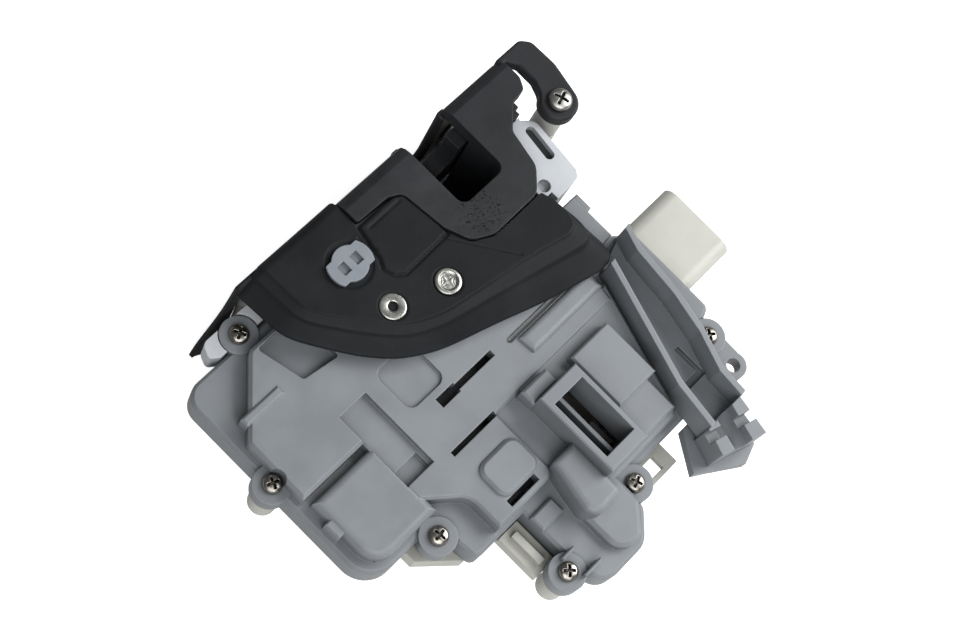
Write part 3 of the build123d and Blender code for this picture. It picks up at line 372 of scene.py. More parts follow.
def closed_rings(rings, first_pole, last_pole):
    """Rings of points joined one to the next, with a fan of quads to a pole at each end."""
    count, sides = rings.shape[:2]
    r, c = np.meshgrid(np.arange(count - 1), np.arange(sides), indexing="ij")
    after = (c + 1) % sides
    quads = np.stack([r * sides + c, (r + 1) * sides + c, (r + 1) * sides + after, r * sides + after], -1)
    k = np.arange(0, sides, 2)
    start, last = count * sides, (count - 1) * sides
    cap_a = np.stack([np.full(len(k), start), k, (k + 1) % sides, (k + 2) % sides], 1)
    cap_b = np.stack([np.full(len(k), start + 1), last + (k + 2) % sides, last + (k + 1) % sides, last + k], 1)
    points = np.concatenate([rings.reshape(-1, 3), [first_pole, last_pole]])
    return points, np.concatenate([quads.reshape(-1, 4), cap_a, cap_b])


def joined(*shells):
    """Several shells as one set of points and faces."""
    points, faces, count = [], [], 0
    for shell_points, shell_quads in shells:
        points.append(shell_points)
        faces.append(shell_quads + count)
        count += len(shell_points)
    return np.concatenate(points), np.concatenate(faces)


def piece(name, shell, material, body, node=None):
    """A mesh object from points in millimetres and quads, smooth, with its faces turned outwards."""
    points, faces = shell
    mesh = bpy.data.meshes.new(name)
    mesh.vertices.add(len(points))
    mesh.vertices.foreach_set("co", (points * MM).astype(np.float32).ravel())
    mesh.loops.add(faces.size)
    mesh.loops.foreach_set("vertex_index", faces.astype(np.int32).ravel())
    mesh.polygons.add(len(faces))
    mesh.polygons.foreach_set("loop_start", np.arange(0, faces.size, 4, dtype=np.int32))
    mesh.polygons.foreach_set("use_smooth", np.ones(len(faces), bool))
    mesh.update(calc_edges=True)
    mesh.validate()
    if volume(points, faces) < 0:
        mesh.flip_normals()
    mesh.materials.append(material)
    made = bpy.data.objects.new(name, mesh)
    bpy.context.scene.collection.objects.link(made)
    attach(made, body)
    if node:
        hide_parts(node)
    return made


def volume(points, faces):
    """Six times the volume that the quads enclose, which is negative where they face inwards."""
    a, b, c, d = (points[faces[:, k]] for k in range(4))
    return float(np.einsum("ij,ij->", a, np.cross(b, c) + np.cross(c, d)))


def smooth_step(value):
    """0 below 0 and 1 above 1, with 3t² − 2t³ between."""
    t = np.clip(value, 0.0, 1.0)
    return t * t * (3.0 - 2.0 * t)


def eased(path, reach):
    """Each column of a path averaged over its neighbours with a raised cosine, which rounds its corners."""
    window = 1.0 + np.cos(np.linspace(-math.pi, math.pi, 2 * reach + 1))
    window /= window.sum()
    padded = np.concatenate([2 * path[:1] - path[reach:0:-1], path, 2 * path[-1:] - path[-2:-reach - 2:-1]])
    return np.stack([np.convolve(padded[:, k], window, "valid") for k in range(path.shape[1])], 1)


def segment_distance(points, a, b):
    """Distance in plan from each point to the segment from a to b."""
    a, b = np.asarray(a, float), np.asarray(b, float)
    along = np.clip(((points - a) @ (b - a)) / ((b - a) @ (b - a)), 0.0, 1.0)
    return np.linalg.norm(points - a - along[..., None] * (b - a), axis=-1)


def inside_distance(points, corners):
    """Distance in plan from each point to a closed outline, positive inside it and negative outside."""
    away = np.full(points.shape[:-1], np.inf)
    crossings = np.zeros(points.shape[:-1], int)
    for a, b in zip(corners, corners[1:] + corners[:1]):
        away = np.minimum(away, segment_distance(points, a, b))
        spans = (a[1] > points[..., 1]) != (b[1] > points[..., 1])
        rise = (b[1] - a[1]) or 1e-9
        crossings += spans & (points[..., 0] < a[0] + (points[..., 1] - a[1]) * (b[0] - a[0]) / rise)
    return np.where(crossings % 2 == 1, away, -away)


# ---------------------------------------------------------------------------
# Rubber seal
# ---------------------------------------------------------------------------

# Stations along the seal, in plan: the lip's outer edge, the ridge where the panel ends, and the panel's back edge.
SEAL_STATIONS = np.array([
    (-43.4, 51.6, -34.6, 51.6, -33.6, 51.6),
    (-42.2, 32.6, -34.2, 33.0, -20.0, 51.5),
    (-30.8, 15.4, -24.2, 20.8, -6.7, 51.5),
    (-22.8, 7.0, -15.9, 11.8, -6.7, 41.8),
    (-12.7, 1.2, -6.0, 7.6, 5.2, 41.2),
    (4.0, -3.8, 8.0, 5.4, 9.2, 39.3),
    (12.5, -6.6, 16.0, 4.3, 10.8, 25.0),
    (19.0, -8.7, 22.0, 3.3, 14.2, 16.8),
    (27.0, -11.0, 29.5, 1.9, 20.9, 13.4),
    (45.8, -15.3, 41.0, -1.0, 38.9, 13.6),
    (46.6, -6.3, 42.6, 6.5, 39.6, 13.6),
    (42.6, 13.3, 40.6, 13.4, 39.9, 13.5)])
SEAL_TOP = 49.0
RAISED_PANEL = [(-6.4, 40.8), (8.0, 40.8), (10.9, 38.0), (10.9, 23.2), (-6.4, 22.8), (-8.9, 24.5), (-10.0, 27.6),
                (-8.4, 30.6), (-7.4, 36.2)]
# Fine lines moulded into the panel: from, to, depth.
SEAL_LINES = [((-4.6, 38.8), (7.4, 38.8), 0.35), ((9.3, 22.9), (22.5, 4.6), 0.28), ((-9.0, 38.6), (-7.6, 33.0), 0.35)]
RIVETS = [(-15.9, 18.4), (0.9, 13.1)]
PLUG = (-16.3, 34.9)
# The lip's fall below the panel, from the ridge (0) to the outer edge (1).
LIP_FALL = [(0.0, 0.0), (0.03, 0.1), (0.07, 0.7), (0.34, 1.5), (0.39, 1.75), (0.43, 2.6), (0.92, 6.0), (1.0, 6.5)]


def seal_plan(steps, across_panel, across_lip):
    """Plan points of the seal: straight lines between its three edges, which are eased polylines."""
    knots = np.concatenate([[0], np.cumsum(np.hypot(*np.diff(SEAL_STATIONS[:, 2:4], axis=0).T))])
    at = np.linspace(0, knots[-1], steps)
    lines = np.stack([np.interp(at, knots, SEAL_STATIONS[:, k]) for k in range(6)], 1)
    lip, ridge, back = eased(lines[:, 0:2], 26), eased(lines[:, 2:4], 26), eased(lines[:, 4:6], 6)
    panel = np.linspace(0, 1, across_panel)[None, :, None]
    slope = np.linspace(0, 1, across_lip)[None, 1:, None]
    return np.concatenate([back[:, None] * (1 - panel) + ridge[:, None] * panel,
                           ridge[:, None] * (1 - slope) + lip[:, None] * slope], 1), slope.ravel()


def seal_height(plan, fall):
    """Height of the seal: a flat panel, less the lip's fall, a dish round each rivet and the plug, and the bend
    over the shut face, with a raised panel and the fine line moulded along it."""
    height = np.full(plan.shape[:2], SEAL_TOP) - fall
    inside = inside_distance(plan, RAISED_PANEL)
    height += 0.5 * smooth_step(inside / 0.5 + 0.5) - 0.75 * np.exp(-((inside + 0.3) / 0.38) ** 2)
    for a, b, depth in SEAL_LINES:
        height -= depth * np.exp(-(segment_distance(plan, a, b) / 0.32) ** 2)
    for centre, reach, depth in ((RIVETS[0], 4.5, 0.6), (RIVETS[1], 4.5, 0.6), (PLUG, 7.2, 0.5)):
        away = np.linalg.norm(plan - np.array(centre), axis=-1)
        height -= depth * smooth_step((reach - away) / 0.7)
    radius, start = 3.6, 48.4
    over = np.clip(plan[..., 1] - start, 0.0, radius)
    return height - (radius - np.sqrt(radius ** 2 - over ** 2))


def seal_panel(steps, thickness):
    """The panel and its lip as one sheet, thinner towards the lip's edge."""
    across_panel, across_lip = 92, 30
    plan, slope = seal_plan(steps, across_panel, across_lip)
    profile = np.interp(slope, *np.array(LIP_FALL).T)
    fall = np.concatenate([np.zeros(across_panel), profile])[None, :]
    wave = 0.12 * np.sin(plan[..., 0] * 0.31 + plan[..., 1] * 0.17) * (fall / 6.5)
    height = seal_height(plan, fall) + wave
    thick = thickness - (thickness - 0.8) * np.concatenate([np.zeros(across_panel), slope])[None, :]
    top = np.concatenate([plan, height[..., None]], -1)
    under = top - np.stack([np.zeros_like(height), smooth_step((plan[..., 1] - 49.0) / 3.0) * thick,
                            thick * np.ones_like(height)], -1)
    return closed_sheet(top, under)


def seal_face(thickness):
    """The wall on the shut face and its flap: its left and right edges are functions of the height."""
    levels = np.concatenate([np.linspace(46.2, 36.4, 12), np.linspace(35.4, 1.6, 48)])
    left = np.interp(levels, [1.6, 8.0, 40.0, 46.2], [-52.4, -51.2, -44.4, -43.3])
    right = np.interp(levels, [1.6, 35.4, 36.4, 46.2], [-42.4, -41.4, -6.9, -6.9])
    share = np.linspace(0, 1, 26)[None, :]
    x = left[:, None] + (right - left)[:, None] * share
    z = levels[:, None] + 0.0 * share
    flare = 1.3 * smooth_step((36.0 - z) / 34.0) * (1 - smooth_step(share * 2.5))
    y = 51.6 + flare
    outer = np.stack([x, y, z], -1)
    inner = outer - np.array([0.0, thickness, 0.0])
    return closed_sheet(outer, inner)


# ---------------------------------------------------------------------------
# Springs and buffer
# ---------------------------------------------------------------------------

# The round bottom of the striker mouth: its centre in X and Z, and its radius.
MOUTH_X, MOUTH_Z, MOUTH_R = 28.8, 19.3, 8.8

def wire(path, radius, sides=12):
    """A round wire: a circle carried along a path, square to it, with its ends drawn in to a point."""
    ahead = np.gradient(path, axis=0)
    ahead /= np.linalg.norm(ahead, axis=1, keepdims=True)
    axis = np.array([0.0, 1.0, 0.0])
    side = np.cross(ahead, axis)
    side /= np.maximum(np.linalg.norm(side, axis=1, keepdims=True), 1e-9)
    up = np.cross(side, ahead)
    turn = np.linspace(0, 2 * math.pi, sides, endpoint=False)
    girth = np.full(len(path), radius)
    girth[[0, -1]] = radius * 0.55
    ring = side[:, None] * np.cos(turn)[None, :, None] + up[:, None] * np.sin(turn)[None, :, None]
    points = path[:, None] + ring * girth[:, None, None]
    return closed_rings(points, path[0] - ahead[0] * radius * 0.2, path[-1] + ahead[-1] * radius * 0.2)


def torsion_path(x, z, depths, radius, turns, angles, legs):
    """The centre line of a torsion spring: a straight leg inwards, a helix about Y, and a straight leg outwards."""
    first, last = math.radians(angles[0]), math.radians(angles[1]) + 2 * math.pi * turns
    around = np.linspace(first, last, 40 * (turns + 1))
    y = np.linspace(depths[0], depths[1], len(around))
    helix = np.stack([x + radius * np.cos(around), y, z + radius * np.sin(around)], 1)
    out = np.linspace(1, 0, 12)[:, None]
    leg_a = helix[0] + out[:-1] * legs[0] * np.array([math.cos(first), 0, math.sin(first)])
    leg_b = helix[-1] + out[::-1][1:] * legs[1] * np.array([math.cos(last), 0, math.sin(last)])
    return eased(np.concatenate([leg_a, helix, leg_b]), 2)


def buffer_strip(x, z, radius, depths):
    """A rubber strip bent to the mouth's round bottom, thick in its middle and crossed by low ribs."""
    around = np.radians(np.linspace(207, 333, 90))[:, None]
    y = np.linspace(depths[0], depths[1], 12)[None, :]
    middle = np.sin((around - around[0]) / (around[-1] - around[0]) * math.pi)
    ribs = 0.35 * smooth_step(np.cos(around * 28.0) * 1.5)
    thick = 0.7 + 1.1 * middle + ribs + 0.0 * y
    thick = thick - 0.3 * (np.abs(y - np.mean(depths)) / np.ptp(depths) * 2) ** 6
    wall = np.stack([x + radius * np.cos(around) + 0 * y, y + 0 * around, z + radius * np.sin(around) + 0 * y], -1)
    depth = radius - thick
    inner = np.stack([x + depth * np.cos(around), y + 0 * around, z + depth * np.sin(around)], -1)
    return closed_sheet(inner, wall)


# ---------------------------------------------------------------------------
# Screws and rivets
# ---------------------------------------------------------------------------

def turned(x, y, profile, dent=None, sides=96):
    """A turned shape about a line along Z: rings at each (radius, height) of a profile, less a dent in its top."""
    radius, height = np.array(profile, float).T
    turn = np.linspace(0, 2 * math.pi, sides, endpoint=False)
    u, v = radius[:, None] * np.cos(turn), radius[:, None] * np.sin(turn)
    z = height[:, None] + 0.0 * u
    if dent:
        z = z - dent(u, v) * (height[:, None] > height.max() - 1.6)
    rings = np.stack([x + u, y + v, z], -1)
    return closed_rings(rings, (x, y, height[0]), (x, y, z[-1].mean()))


def cross_recess(width, reach, depth, turn):
    """The depth of a cross-shaped driver recess, with sloping walls and ends and a round middle."""
    def dent(u, v):
        """How far the head's top sinks at each point across it."""
        a, b = u * math.cos(turn) + v * math.sin(turn), v * math.cos(turn) - u * math.sin(turn)
        away = np.hypot(a, b)
        arm_a, arm_b = (smooth_step((width - np.abs(c)) / 0.16 + 0.5) for c in (a, b))
        arms = np.maximum(arm_a, arm_b)
        middle = smooth_step((width * 2.0 - away) / 0.25)
        return depth * np.maximum(arms, middle) * smooth_step((reach - away) / 0.5)
    return dent


def pan_screw(x, y, z, head_r, head_h, shank_r, length, turn):
    """A pan-head screw: a threaded shank, a rounded rim and a domed top with a cross recess."""
    low = np.linspace(z - length + 1.0, z - 0.8, 60)
    thread = shank_r - 0.1 + 0.1 * np.cos((low - z) / 1.1 * 2 * math.pi)
    around = np.linspace(0, math.pi / 2, 26)[1:]
    dome_r = (head_r - 0.12) * np.cos(around) ** 0.8
    dome_z = z + head_h * 0.42 + head_h * 0.58 * np.sin(around) ** 0.9
    side = [(0.15, z - length), (shank_r * 0.7, z - length + 0.2), *zip(thread, low), (shank_r, z - 0.1),
            (shank_r + 0.3, z), (head_r - 0.15, z), (head_r, z + 0.15), (head_r, z + head_h * 0.38)]
    top_r = np.interp(np.linspace(0, 1, 34), [0, 1], [dome_r[0], 0.03])
    top_z = np.interp(top_r, dome_r[::-1], dome_z[::-1])
    return turned(x, y, [*side, *zip(top_r, top_z)], cross_recess(0.34, head_r * 0.66, head_h * 0.55, turn))


BORE_DEPTH = 12.0


def rivet_head(x, y, low, high, head_r, shank_r, hole_r):
    """A rivet: a shank and a rounded head, either with a bore or with a hammered dish in its middle."""
    under = high - 1.25
    arc = np.linspace(0, math.pi / 2, 9)
    profile = [(0.1, low), (shank_r - 0.2, low), (shank_r, low + 0.2), (shank_r, under), (head_r - 0.1, under),
               (head_r, under + 0.12)]
    profile += [*zip(head_r - 0.55 + 0.55 * np.cos(arc), high - 0.6 + 0.55 * np.sin(arc))]
    if hole_r:
        bore = [(hole_r + 0.5, high), (hole_r + 0.2, high - 0.08), (hole_r, high - 0.35), (hole_r, high - 1.3),
                (hole_r, high - BORE_DEPTH), (0.1, high - BORE_DEPTH - 0.2)]
        return turned(x, y, [*profile, *bore])
    dish = [(r, high - 0.42 * smooth_step((head_r * 0.72 - r) / 0.5)) for r in np.linspace(head_r * 0.8, 0.05, 26)]

    def hammered(u, v):
        """How far the hammered dish sinks at each point across the head."""
        inside = smooth_step((head_r * 0.62 - np.hypot(u, v)) / 0.4)
        return 0.02 * inside * (np.sin(3.1 * u + 1.3 * v) * np.sin(2.7 * v - 1.1 * u + 0.6) + np.sin(5.3 * u * v))
    return turned(x, y, [*profile, *dish], hammered)


# ---------------------------------------------------------------------------
# Mouth edging, deck pad, and dark webs of painted shade
# ---------------------------------------------------------------------------

def mouth_edging(x, z, radius, top, y_back, y_front):
    """A black edging round the plate's mouth: an angle section carried along a U-shaped path."""
    around = np.linspace(math.pi, 2 * math.pi, 60)
    fall = np.linspace(top, z, 18)[:-1]
    path = np.concatenate([np.stack([np.full(17, x - radius), fall], 1),
                           np.stack([x + radius * np.cos(around), z + radius * np.sin(around)], 1),
                           np.stack([np.full(17, x + radius), fall[::-1]], 1)])
    inward = np.concatenate([np.tile([1.0, 0.0], (17, 1)), -np.stack([np.cos(around), np.sin(around)], 1),
                             np.tile([-1.0, 0.0], (17, 1))])
    outer = np.array([(0.45, y_back), (0.5, y_front), (0.42, y_front + 0.32), (0.15, y_front + 0.45),
                      (-1.6, y_front + 0.45), (-1.9, y_front + 0.3)])
    inner = np.array([(0.03, y_back), (0.03, y_front), (0.03, y_front), (-0.1, y_front + 0.05), (-1.6, y_front + 0.05),
                      (-1.9, y_front + 0.05)])

    def carried(section):
        """The section's points carried along the path, square to it."""
        plan = path[:, None] + inward[:, None] * section[None, :, :1]
        depth = np.broadcast_to(section[None, :, 1], plan.shape[:2])
        return np.stack([plan[..., 0], depth, plan[..., 1]], -1)
    return closed_sheet(carried(outer), carried(inner))


# The long pad beside the seal, on the cover's middle deck, and the groove along it, whose shade is painted with a dark
# sheet: its centre and half sizes.
DECK_GROOVE = (17.0, -10.0, 11.6, 0.85)
DECK_LEVEL = 38.0
DECK_PAD = [(8.0, -11.1), (37.6, -11.1), (38.4, -17.3), (8.6, -17.3)]


def raised_pad(corners, level, height, roll):
    """A moulded pad on a flat face: z = level + height * sqrt(1 - (1 - d / roll)^2), d from the pad's outline."""
    s, t = np.meshgrid(np.linspace(0, 1, 130), np.linspace(0, 1, 44), indexing="ij")
    a, b, c, d = (np.array(corner, float) for corner in corners)
    s, t = s[..., None], t[..., None]
    plan = (a * (1 - s) + b * s) * (1 - t) + (d * (1 - s) + c * s) * t
    inward = np.clip(inside_distance(plan, list(corners)) / roll, 0, 1)
    rise = height * np.sqrt(1 - (1 - inward) ** 2)
    top = np.concatenate([plan, (level - 0.05 + rise)[..., None]], -1)
    under = np.concatenate([plan, np.full(plan.shape[:2] + (1,), level - 0.6)], -1)
    return closed_sheet(top, under)


def slot_shade_sheet(x, y, turn, half_length, half_width, z):
    """A dished web with round ends, as in the floor of a slot, that stands as a dark sheet of painted shade: its
    half-width is a function of its length.
    """
    s = np.linspace(-1, 1, 40)[:, None] * half_length
    t = np.linspace(-1, 1, 10)[None, :]
    past = np.clip(np.abs(s) - (half_length - half_width), 0, half_width) / half_width
    across = t * half_width * np.sqrt(np.maximum(1 - past ** 2, 0.0025))
    u = s * math.cos(turn) - across * math.sin(turn)
    v = s * math.sin(turn) + across * math.cos(turn)
    top = np.stack([x + u, y + v, z + 0.6 + 0.25 * t ** 2 + 0 * s], -1)
    drop = np.stack([0 * u, 0 * u, 0.5 + 0.3 * t ** 2 + 0 * s], -1)
    return closed_sheet(top, top - drop)


# ---------------------------------------------------------------------------
# Settings
# ---------------------------------------------------------------------------

def colour_setting(name, description, default):
    """A colour that a user would change."""
    return bpy.props.FloatVectorProperty(name=name, description=description, subtype="COLOR", size=4, min=0.0, max=1.0,
                                         default=(*default, 1.0))


class LatchFinishes(bpy.types.PropertyGroup):
    """Colours of the latch's plastics, rubber and metals."""
    cover: colour_setting("Cover", "Grey of the cover and the cable guide", (0.15, 0.162, 0.173))
    rear: colour_setting("Rear", "Cream of the rear shell and the connector shroud", (0.38, 0.38, 0.345))
    carrier: colour_setting("Carrier", "Bluish white of the latch carrier", (0.385, 0.403, 0.425))
    frame: colour_setting("Frame", "Black of the striker frame", (0.013, 0.0141, 0.0162))
    seal: colour_setting("Seal", "Black of the rubber seal", (0.006, 0.0071, 0.0084))
    plug: colour_setting("Plug", "Pale blue of the seal's plug", (0.18, 0.2, 0.222))
    gear: colour_setting("Gears", "Dark grey of the moulded gears", (0.04, 0.042, 0.045))
    zinc: colour_setting("Zinc", "Zinc plating of the plate and levers", (0.58, 0.58, 0.55))
    bright: colour_setting("Bright", "Bright plating of the rivets and frame screw", (0.4, 0.4, 0.375))
    nickel: colour_setting("Nickel", "Dark nickel of the cover screws", (0.34, 0.32, 0.29))
    phosphate: colour_setting("Phosphate", "Black phosphate of the claw and pawl", (0.03, 0.03, 0.031))
    brass: colour_setting("Brass", "Brass of the contacts", (0.66, 0.48, 0.22))


class LatchSeal(bpy.types.PropertyGroup):
    """Sizes of the modelled rubber and springs."""
    thickness: bpy.props.FloatProperty(name="Seal thickness", description="Thickness of the seal's panel",
                                       default=1.35 * MM, min=0.5 * MM, max=2.0 * MM, unit="LENGTH", precision=5)
    steps: bpy.props.IntProperty(name="Seal steps", description="Rows of points along the seal", default=380, min=60,
                                 max=900)
    turns: bpy.props.IntProperty(name="Spring turns", description="Whole turns in each spring", default=3,
                                 min=1, max=8)


class LatchStudio(bpy.types.PropertyGroup):
    """The camera and the light."""
    lens: bpy.props.FloatProperty(name="Lens", description="Focal length", default=80.06, min=20, max=200,
                                  unit="CAMERA")
    key: bpy.props.FloatProperty(name="Key light", description="Power of the key light", default=12.5, min=0,
                                 unit="POWER")
    fill: bpy.props.FloatProperty(name="Fill light", description="Power of the fill light", default=8.0, min=0,
                                  unit="POWER")
    sky: bpy.props.FloatProperty(name="Sky", description="Strength of the even light all round", default=0.17, min=0)
    floor: colour_setting("Floor", "Pale floor", (0.6, 0.6, 0.6))


# ---------------------------------------------------------------------------
# Operators
# ---------------------------------------------------------------------------

class BuildFinishes(bpy.types.Operator):
    """Make the shared effects and every finish, and give each CAD node its own"""
    bl_idname = "latch.build_finishes"
    bl_label = "Finishes"

    def execute(self, context):
        c = context.scene.latch_finishes
        for make in (moulded_grain, rubbed_edge, deep_shade, settled_dust, residue_patch, worked_metal):
            make()
        made = {
            "grey_plastic": moulded("cover_grey", c.cover, rough=0.46, edge=1.45, radius=0.5),
            "cream_plastic": moulded("shell_cream", c.rear, rough=0.42, grain=1700.0, edge=1.05, milky=0.25),
            "white_plastic": moulded("carrier_white", c.carrier, rough=0.4, grain=1700.0, edge=1.08, milky=0.12),
            "plug_plastic": moulded("plug_blue", c.plug, rough=0.32, grain=1500.0, edge=1.2, milky=0.3),
            "black_plastic": striker_black("frame_black", c.frame, (0.0225, 0.0205, 0.050), 0.0135),
            "gear_plastic": moulded("gear_dark", c.gear, rough=0.4, edge=1.6),
            "black_rubber": rubber("seal_black", c.seal),
            "zinc_steel": metal("zinc_plate", c.zinc, rough=0.34, lines=0.8),
            # The bright plate's painted shade reaches further, so the hollow rivet's bore is painted near black.
            "bright_steel": metal("bright_plate", c.bright, rough=0.26, stain=0.82, reach=0.0035),
            "screw_steel": metal("dark_nickel", c.nickel, rough=0.2, stain=0.6),
            "dark_steel": metal("black_phosphate", c.phosphate, rough=0.42, whole=0.8),
            "contact_brass": metal("contact_brass", c.brass, rough=0.24, lines=0.5),
        }
        for node in NODES.values():
            for holder in node.material_slots:
                name = holder.material.name.split(".")[0]
                if name not in made:
                    raise RuntimeError(f"no finish for {name} on {node.name}")
                holder.material = made[name]
        return {"FINISHED"}


class BuildSeal(bpy.types.Operator):
    """Model the rubber seal: its panel, its sloping lip, and the wall and flap on the shut face"""
    bl_idname = "latch.build_seal"
    bl_label = "Rubber seal"

    def execute(self, context):
        sizes = context.scene.latch_seal
        thickness = sizes.thickness / MM
        shell = joined(seal_panel(sizes.steps, thickness), seal_face(thickness))
        piece("seal", shell, bpy.data.materials["seal_black"], body_of("edge_seal"), "edge_seal")
        return {"FINISHED"}


class BuildSprings(bpy.types.Operator):
    """Wind the springs of the claw and the pawl as real wire"""
    bl_idname = "latch.build_springs"
    bl_label = "Springs"

    def execute(self, context):
        turns = context.scene.latch_seal.turns
        for node, x, z, radius, gauge, angles, legs in (("claw_spring", 47.3, 27.5, 5.4, 0.6, (20, 250), (5.0, 7.0)),
                                                        ("pawl_spring", 10.0, 31.0, 4.1, 0.5, (190, 80), (6.0, 5.0))):
            low, high = (corner.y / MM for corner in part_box(node))
            depths = (low + gauge + 0.05, high - gauge - 0.05)
            path = torsion_path(x, z, depths, radius, turns, angles, legs)
            piece(node + "_wire", wire(path, gauge), bpy.data.materials["zinc_plate"], body_of(node),
                  node)
        return {"FINISHED"}


class BuildBuffer(bpy.types.Operator):
    """Model the ribbed rubber strip at the bottom of the striker mouth"""
    bl_idname = "latch.build_buffer"
    bl_label = "Mouth buffer"

    def execute(self, context):
        low, high = (corner.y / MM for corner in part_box("mouth_buffer"))
        strip = buffer_strip(MOUTH_X, MOUTH_Z, MOUTH_R - 0.15, (low + 0.1, high - 0.1))
        piece("mouth_strip", strip, bpy.data.materials["seal_black"], body_of("mouth_buffer"),
              "mouth_buffer")
        return {"FINISHED"}


# Each cover screw's place and the turn of its recess, and the heads' heights.
COVER_HEAD_H, FRAME_HEAD_H = 2.2, 2.6
COVER_SCREWS = [(-47.7, 43.1, 0.5), (-70.8, 6.9, 1.2), (-47.7, -34.6, 0.1), (-28.4, -66.7, 0.8), (4.5, -63.1, 0.35),
                (53.5, -48.9, 1.0)]


class BuildFasteners(bpy.types.Operator):
    """Turn the cover screws, the frame screw and the two rivets"""
    bl_idname = "latch.build_fasteners"
    bl_label = "Screws and rivets"

    def execute(self, context):
        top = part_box("cover_screws")[1].z / MM
        screws = [pan_screw(x, y, top - COVER_HEAD_H, 2.9, 2.15, 1.3, 13.5, turn) for x, y, turn in COVER_SCREWS]
        piece("cover_screw_set", joined(*screws), bpy.data.materials["dark_nickel"],
              body_of("cover_screws"), "cover_screws")
        low, high = (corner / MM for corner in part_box("frame_screw"))
        x, y = (low.x + high.x) / 2, (low.y + high.y) / 2
        seat = high.z - FRAME_HEAD_H
        screw = pan_screw(x, y, seat, (high.x - low.x) / 2, 2.55, 1.7, seat - low.z, 0.3)
        piece("frame_pan_screw", screw, bpy.data.materials["bright_plate"], body_of("frame_screw"),
              "frame_screw")
        for node, hole_r in (("hollow_rivet", 1.35), ("solid_rivet", 0.0)):
            low, high = (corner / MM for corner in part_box(node))
            x, y, head_r = (low.x + high.x) / 2, (low.y + high.y) / 2, (high.x - low.x) / 2
            shell = rivet_head(x, y, low.z, high.z, head_r, 2.15, hole_r)
            piece(node + "_head", shell, bpy.data.materials["bright_plate"], body_of(node), node)
        return {"FINISHED"}


class BuildMouthEdging(bpy.types.Operator):
    """Line the plate's mouth, set the pad on the deck with a dark sheet of painted shade in its groove, and close the
    carrier's slot with a dark web of painted shade
    """
    bl_idname = "latch.build_mouth_edging"
    bl_label = "Mouth edging, deck pad and webs"

    def execute(self, context):
        edging = mouth_edging(MOUTH_X, MOUTH_Z, MOUTH_R, 44.6, 48.05, 50.5)
        piece("mouth_edging", edging, bpy.data.materials["frame_black"], body_of("latch_plate"))
        pad = raised_pad(DECK_PAD, DECK_LEVEL, 1.5, 1.8)
        piece("deck_pad", pad, bpy.data.materials["cover_grey"], body_of("cover_shell"))
        # Painted shade: the groove is a dark sheet laid on the grey deck, darker than the cover.
        x, y, half_length, half_width = DECK_GROOVE
        groove = slot_shade_sheet(x, y, 0.0, half_length, half_width, DECK_LEVEL - 0.56)
        piece("deck_groove_shade", groove, bpy.data.materials["gear_dark"], body_of("cover_shell"))
        # Painted shade: the carrier's slot is closed by a dark web that stands for the shade inside the slot.
        web = slot_shade_sheet(54.1, 24.7, math.radians(82.5), 5.7, 1.42, 41.0)
        piece("slot_shade_sheet", web, bpy.data.materials["gear_dark"], body_of("latch_carrier"))
        return {"FINISHED"}


# Where the lights and the camera stand, in metres, and how far a ray from the camera sees the floor lifted to white.
KEY_AT, KEY_SIZE = (0.62, -0.34, 0.62), 0.7
FILL_AT, FILL_SIZE = (-0.42, -0.36, 0.62), 0.8
LIT_POINT = (0.0, 0.0, 0.02)
CAMERA_AT = (-0.2308, -0.0342, 0.5886)
CAMERA_AXES = ((0.6662, -0.7060, 0.2404), (0.6345, 0.7059, 0.3148), (-0.392, -0.0572, 0.9182))
FLOOR_LIFT = 0.8
FLOOR_GAP = 0.0002


def area_light(name, at, size, power):
    """A soft square light that looks at the part."""
    light = bpy.data.lights.new(name, "AREA")
    light.shape, light.size, light.energy = "SQUARE", size, power
    holder = bpy.data.objects.new(name, light)
    holder.location = at
    holder.rotation_euler = (Vector(LIT_POINT) - Vector(at)).to_track_quat("-Z", "Y").to_euler()
    bpy.context.scene.collection.objects.link(holder)


def floor_finish(colour):
    """The floor's pale, faintly uneven paper."""
    material, t, principled = shader("studio_paper")
    skin = group(t, "moulded_grain", Grain=900.0, Flow=6.0)
    t.tree.links.new(t.mix(skin["Mottle"], tint(colour, 0.985), tint(colour, 1.0)), principled.inputs["Base Color"])
    principled.inputs["Roughness"].default_value = 0.7
    principled.inputs["Emission Color"].default_value = (1.0, 1.0, 1.0, 1.0)
    lift = t.math("MULTIPLY", t.add("LightPath").outputs["Is Camera Ray"], FLOOR_LIFT)
    t.tree.links.new(lift, principled.inputs["Emission Strength"])
    return material


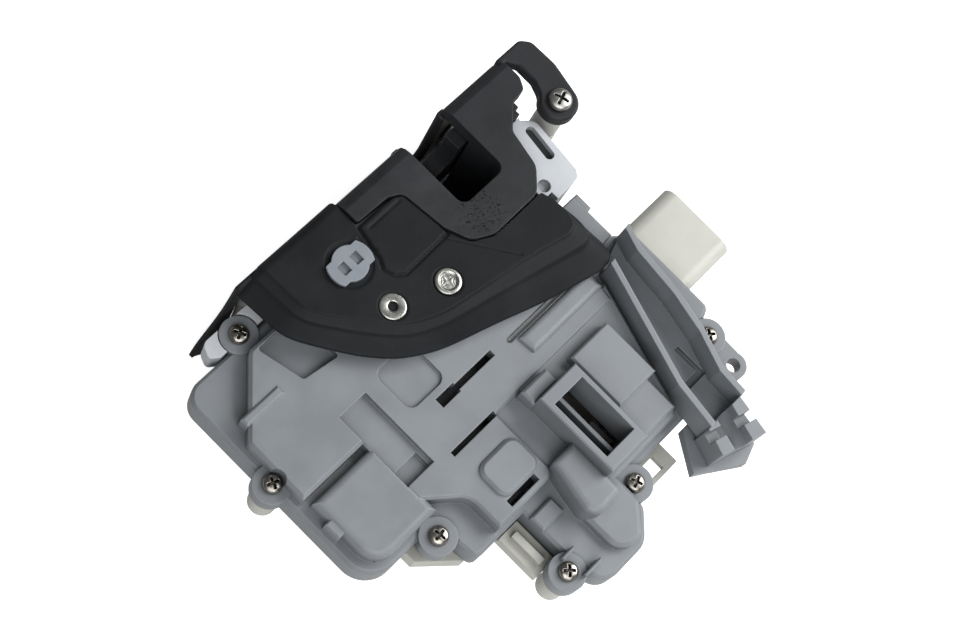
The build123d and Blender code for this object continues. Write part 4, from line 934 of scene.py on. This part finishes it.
class BuildStudio(bpy.types.Operator):
    """Set the pale floor, the soft lights and the camera"""
    bl_idname = "latch.build_studio"
    bl_label = "Studio"

    def execute(self, context):
        scene, set_up = context.scene, context.scene.latch_studio
        level = CAD_BOX[0][2] - FLOOR_GAP
        mesh = bpy.data.meshes.new("studio_floor")
        mesh.from_pydata([(-1, -1, level), (1, -1, level), (1, 1, level), (-1, 1, level)], [], [(0, 1, 2, 3)])
        mesh.materials.append(floor_finish(set_up.floor))
        floor = bpy.data.objects.new("studio_floor", mesh)
        scene.collection.objects.link(floor)
        area_light("key", KEY_AT, KEY_SIZE, set_up.key)
        area_light("fill", FILL_AT, FILL_SIZE, set_up.fill)
        world = bpy.data.worlds.new("studio_sky")
        world.use_nodes = True
        sky = Tree(world.node_tree)
        seen = sky.add("LightPath").outputs["Is Camera Ray"]
        strength = sky.math("MAXIMUM", seen, set_up.sky)
        background = sky.add("Background", {"Color": (1.0, 1.0, 1.0, 1.0), "Strength": strength})
        sky.add("OutputWorld", {"Surface": background.outputs["Background"]})
        scene.world = world
        scene.view_settings.view_transform = "Standard"
        camera = bpy.data.cameras.new("camera")
        camera.lens, camera.sensor_width, camera.clip_start = set_up.lens, 36.0, 0.01
        view = bpy.data.objects.new("camera", camera)
        turn = Matrix([Vector(axis) for axis in CAMERA_AXES]).transposed().to_4x4()
        view.matrix_world = Matrix.Translation(CAMERA_AT) @ turn
        scene.collection.objects.link(view)
        scene.camera = view
        return {"FINISHED"}


class LatchPanel(bpy.types.Panel):
    """Lists the steps and their settings in the sidebar"""
    bl_idname = "VIEW3D_PT_latch"
    bl_label = "Door latch"
    bl_space_type = "VIEW_3D"
    bl_region_type = "UI"
    bl_category = "Latch"

    def draw(self, context):
        for holder in (context.scene.latch_finishes, context.scene.latch_seal, context.scene.latch_studio):
            box = self.layout.box()
            for name in holder.__annotations__:
                box.prop(holder, name)
        for step in STEPS:
            self.layout.operator(step.bl_idname)


STEPS = (BuildFinishes, BuildSeal, BuildSprings, BuildBuffer, BuildFasteners, BuildMouthEdging, BuildStudio)
GROUPS = {"latch_finishes": LatchFinishes, "latch_seal": LatchSeal, "latch_studio": LatchStudio}


def register():
    """Register the settings, the steps and the panel."""
    for item in (*GROUPS.values(), *STEPS, LatchPanel):
        bpy.utils.register_class(item)
    for name, kind in GROUPS.items():
        setattr(bpy.types.Scene, name, bpy.props.PointerProperty(type=kind))


def unregister():
    """Take them away again."""
    for name in GROUPS:
        delattr(bpy.types.Scene, name)
    for item in (LatchPanel, *STEPS[::-1], *reversed(GROUPS.values())):
        bpy.utils.unregister_class(item)


def main():
    """Run every step in order."""
    register()
    for step in STEPS:
        family, name = step.bl_idname.split(".")
        getattr(getattr(bpy.ops, family), name)()


if __name__ == "__main__":
    main()
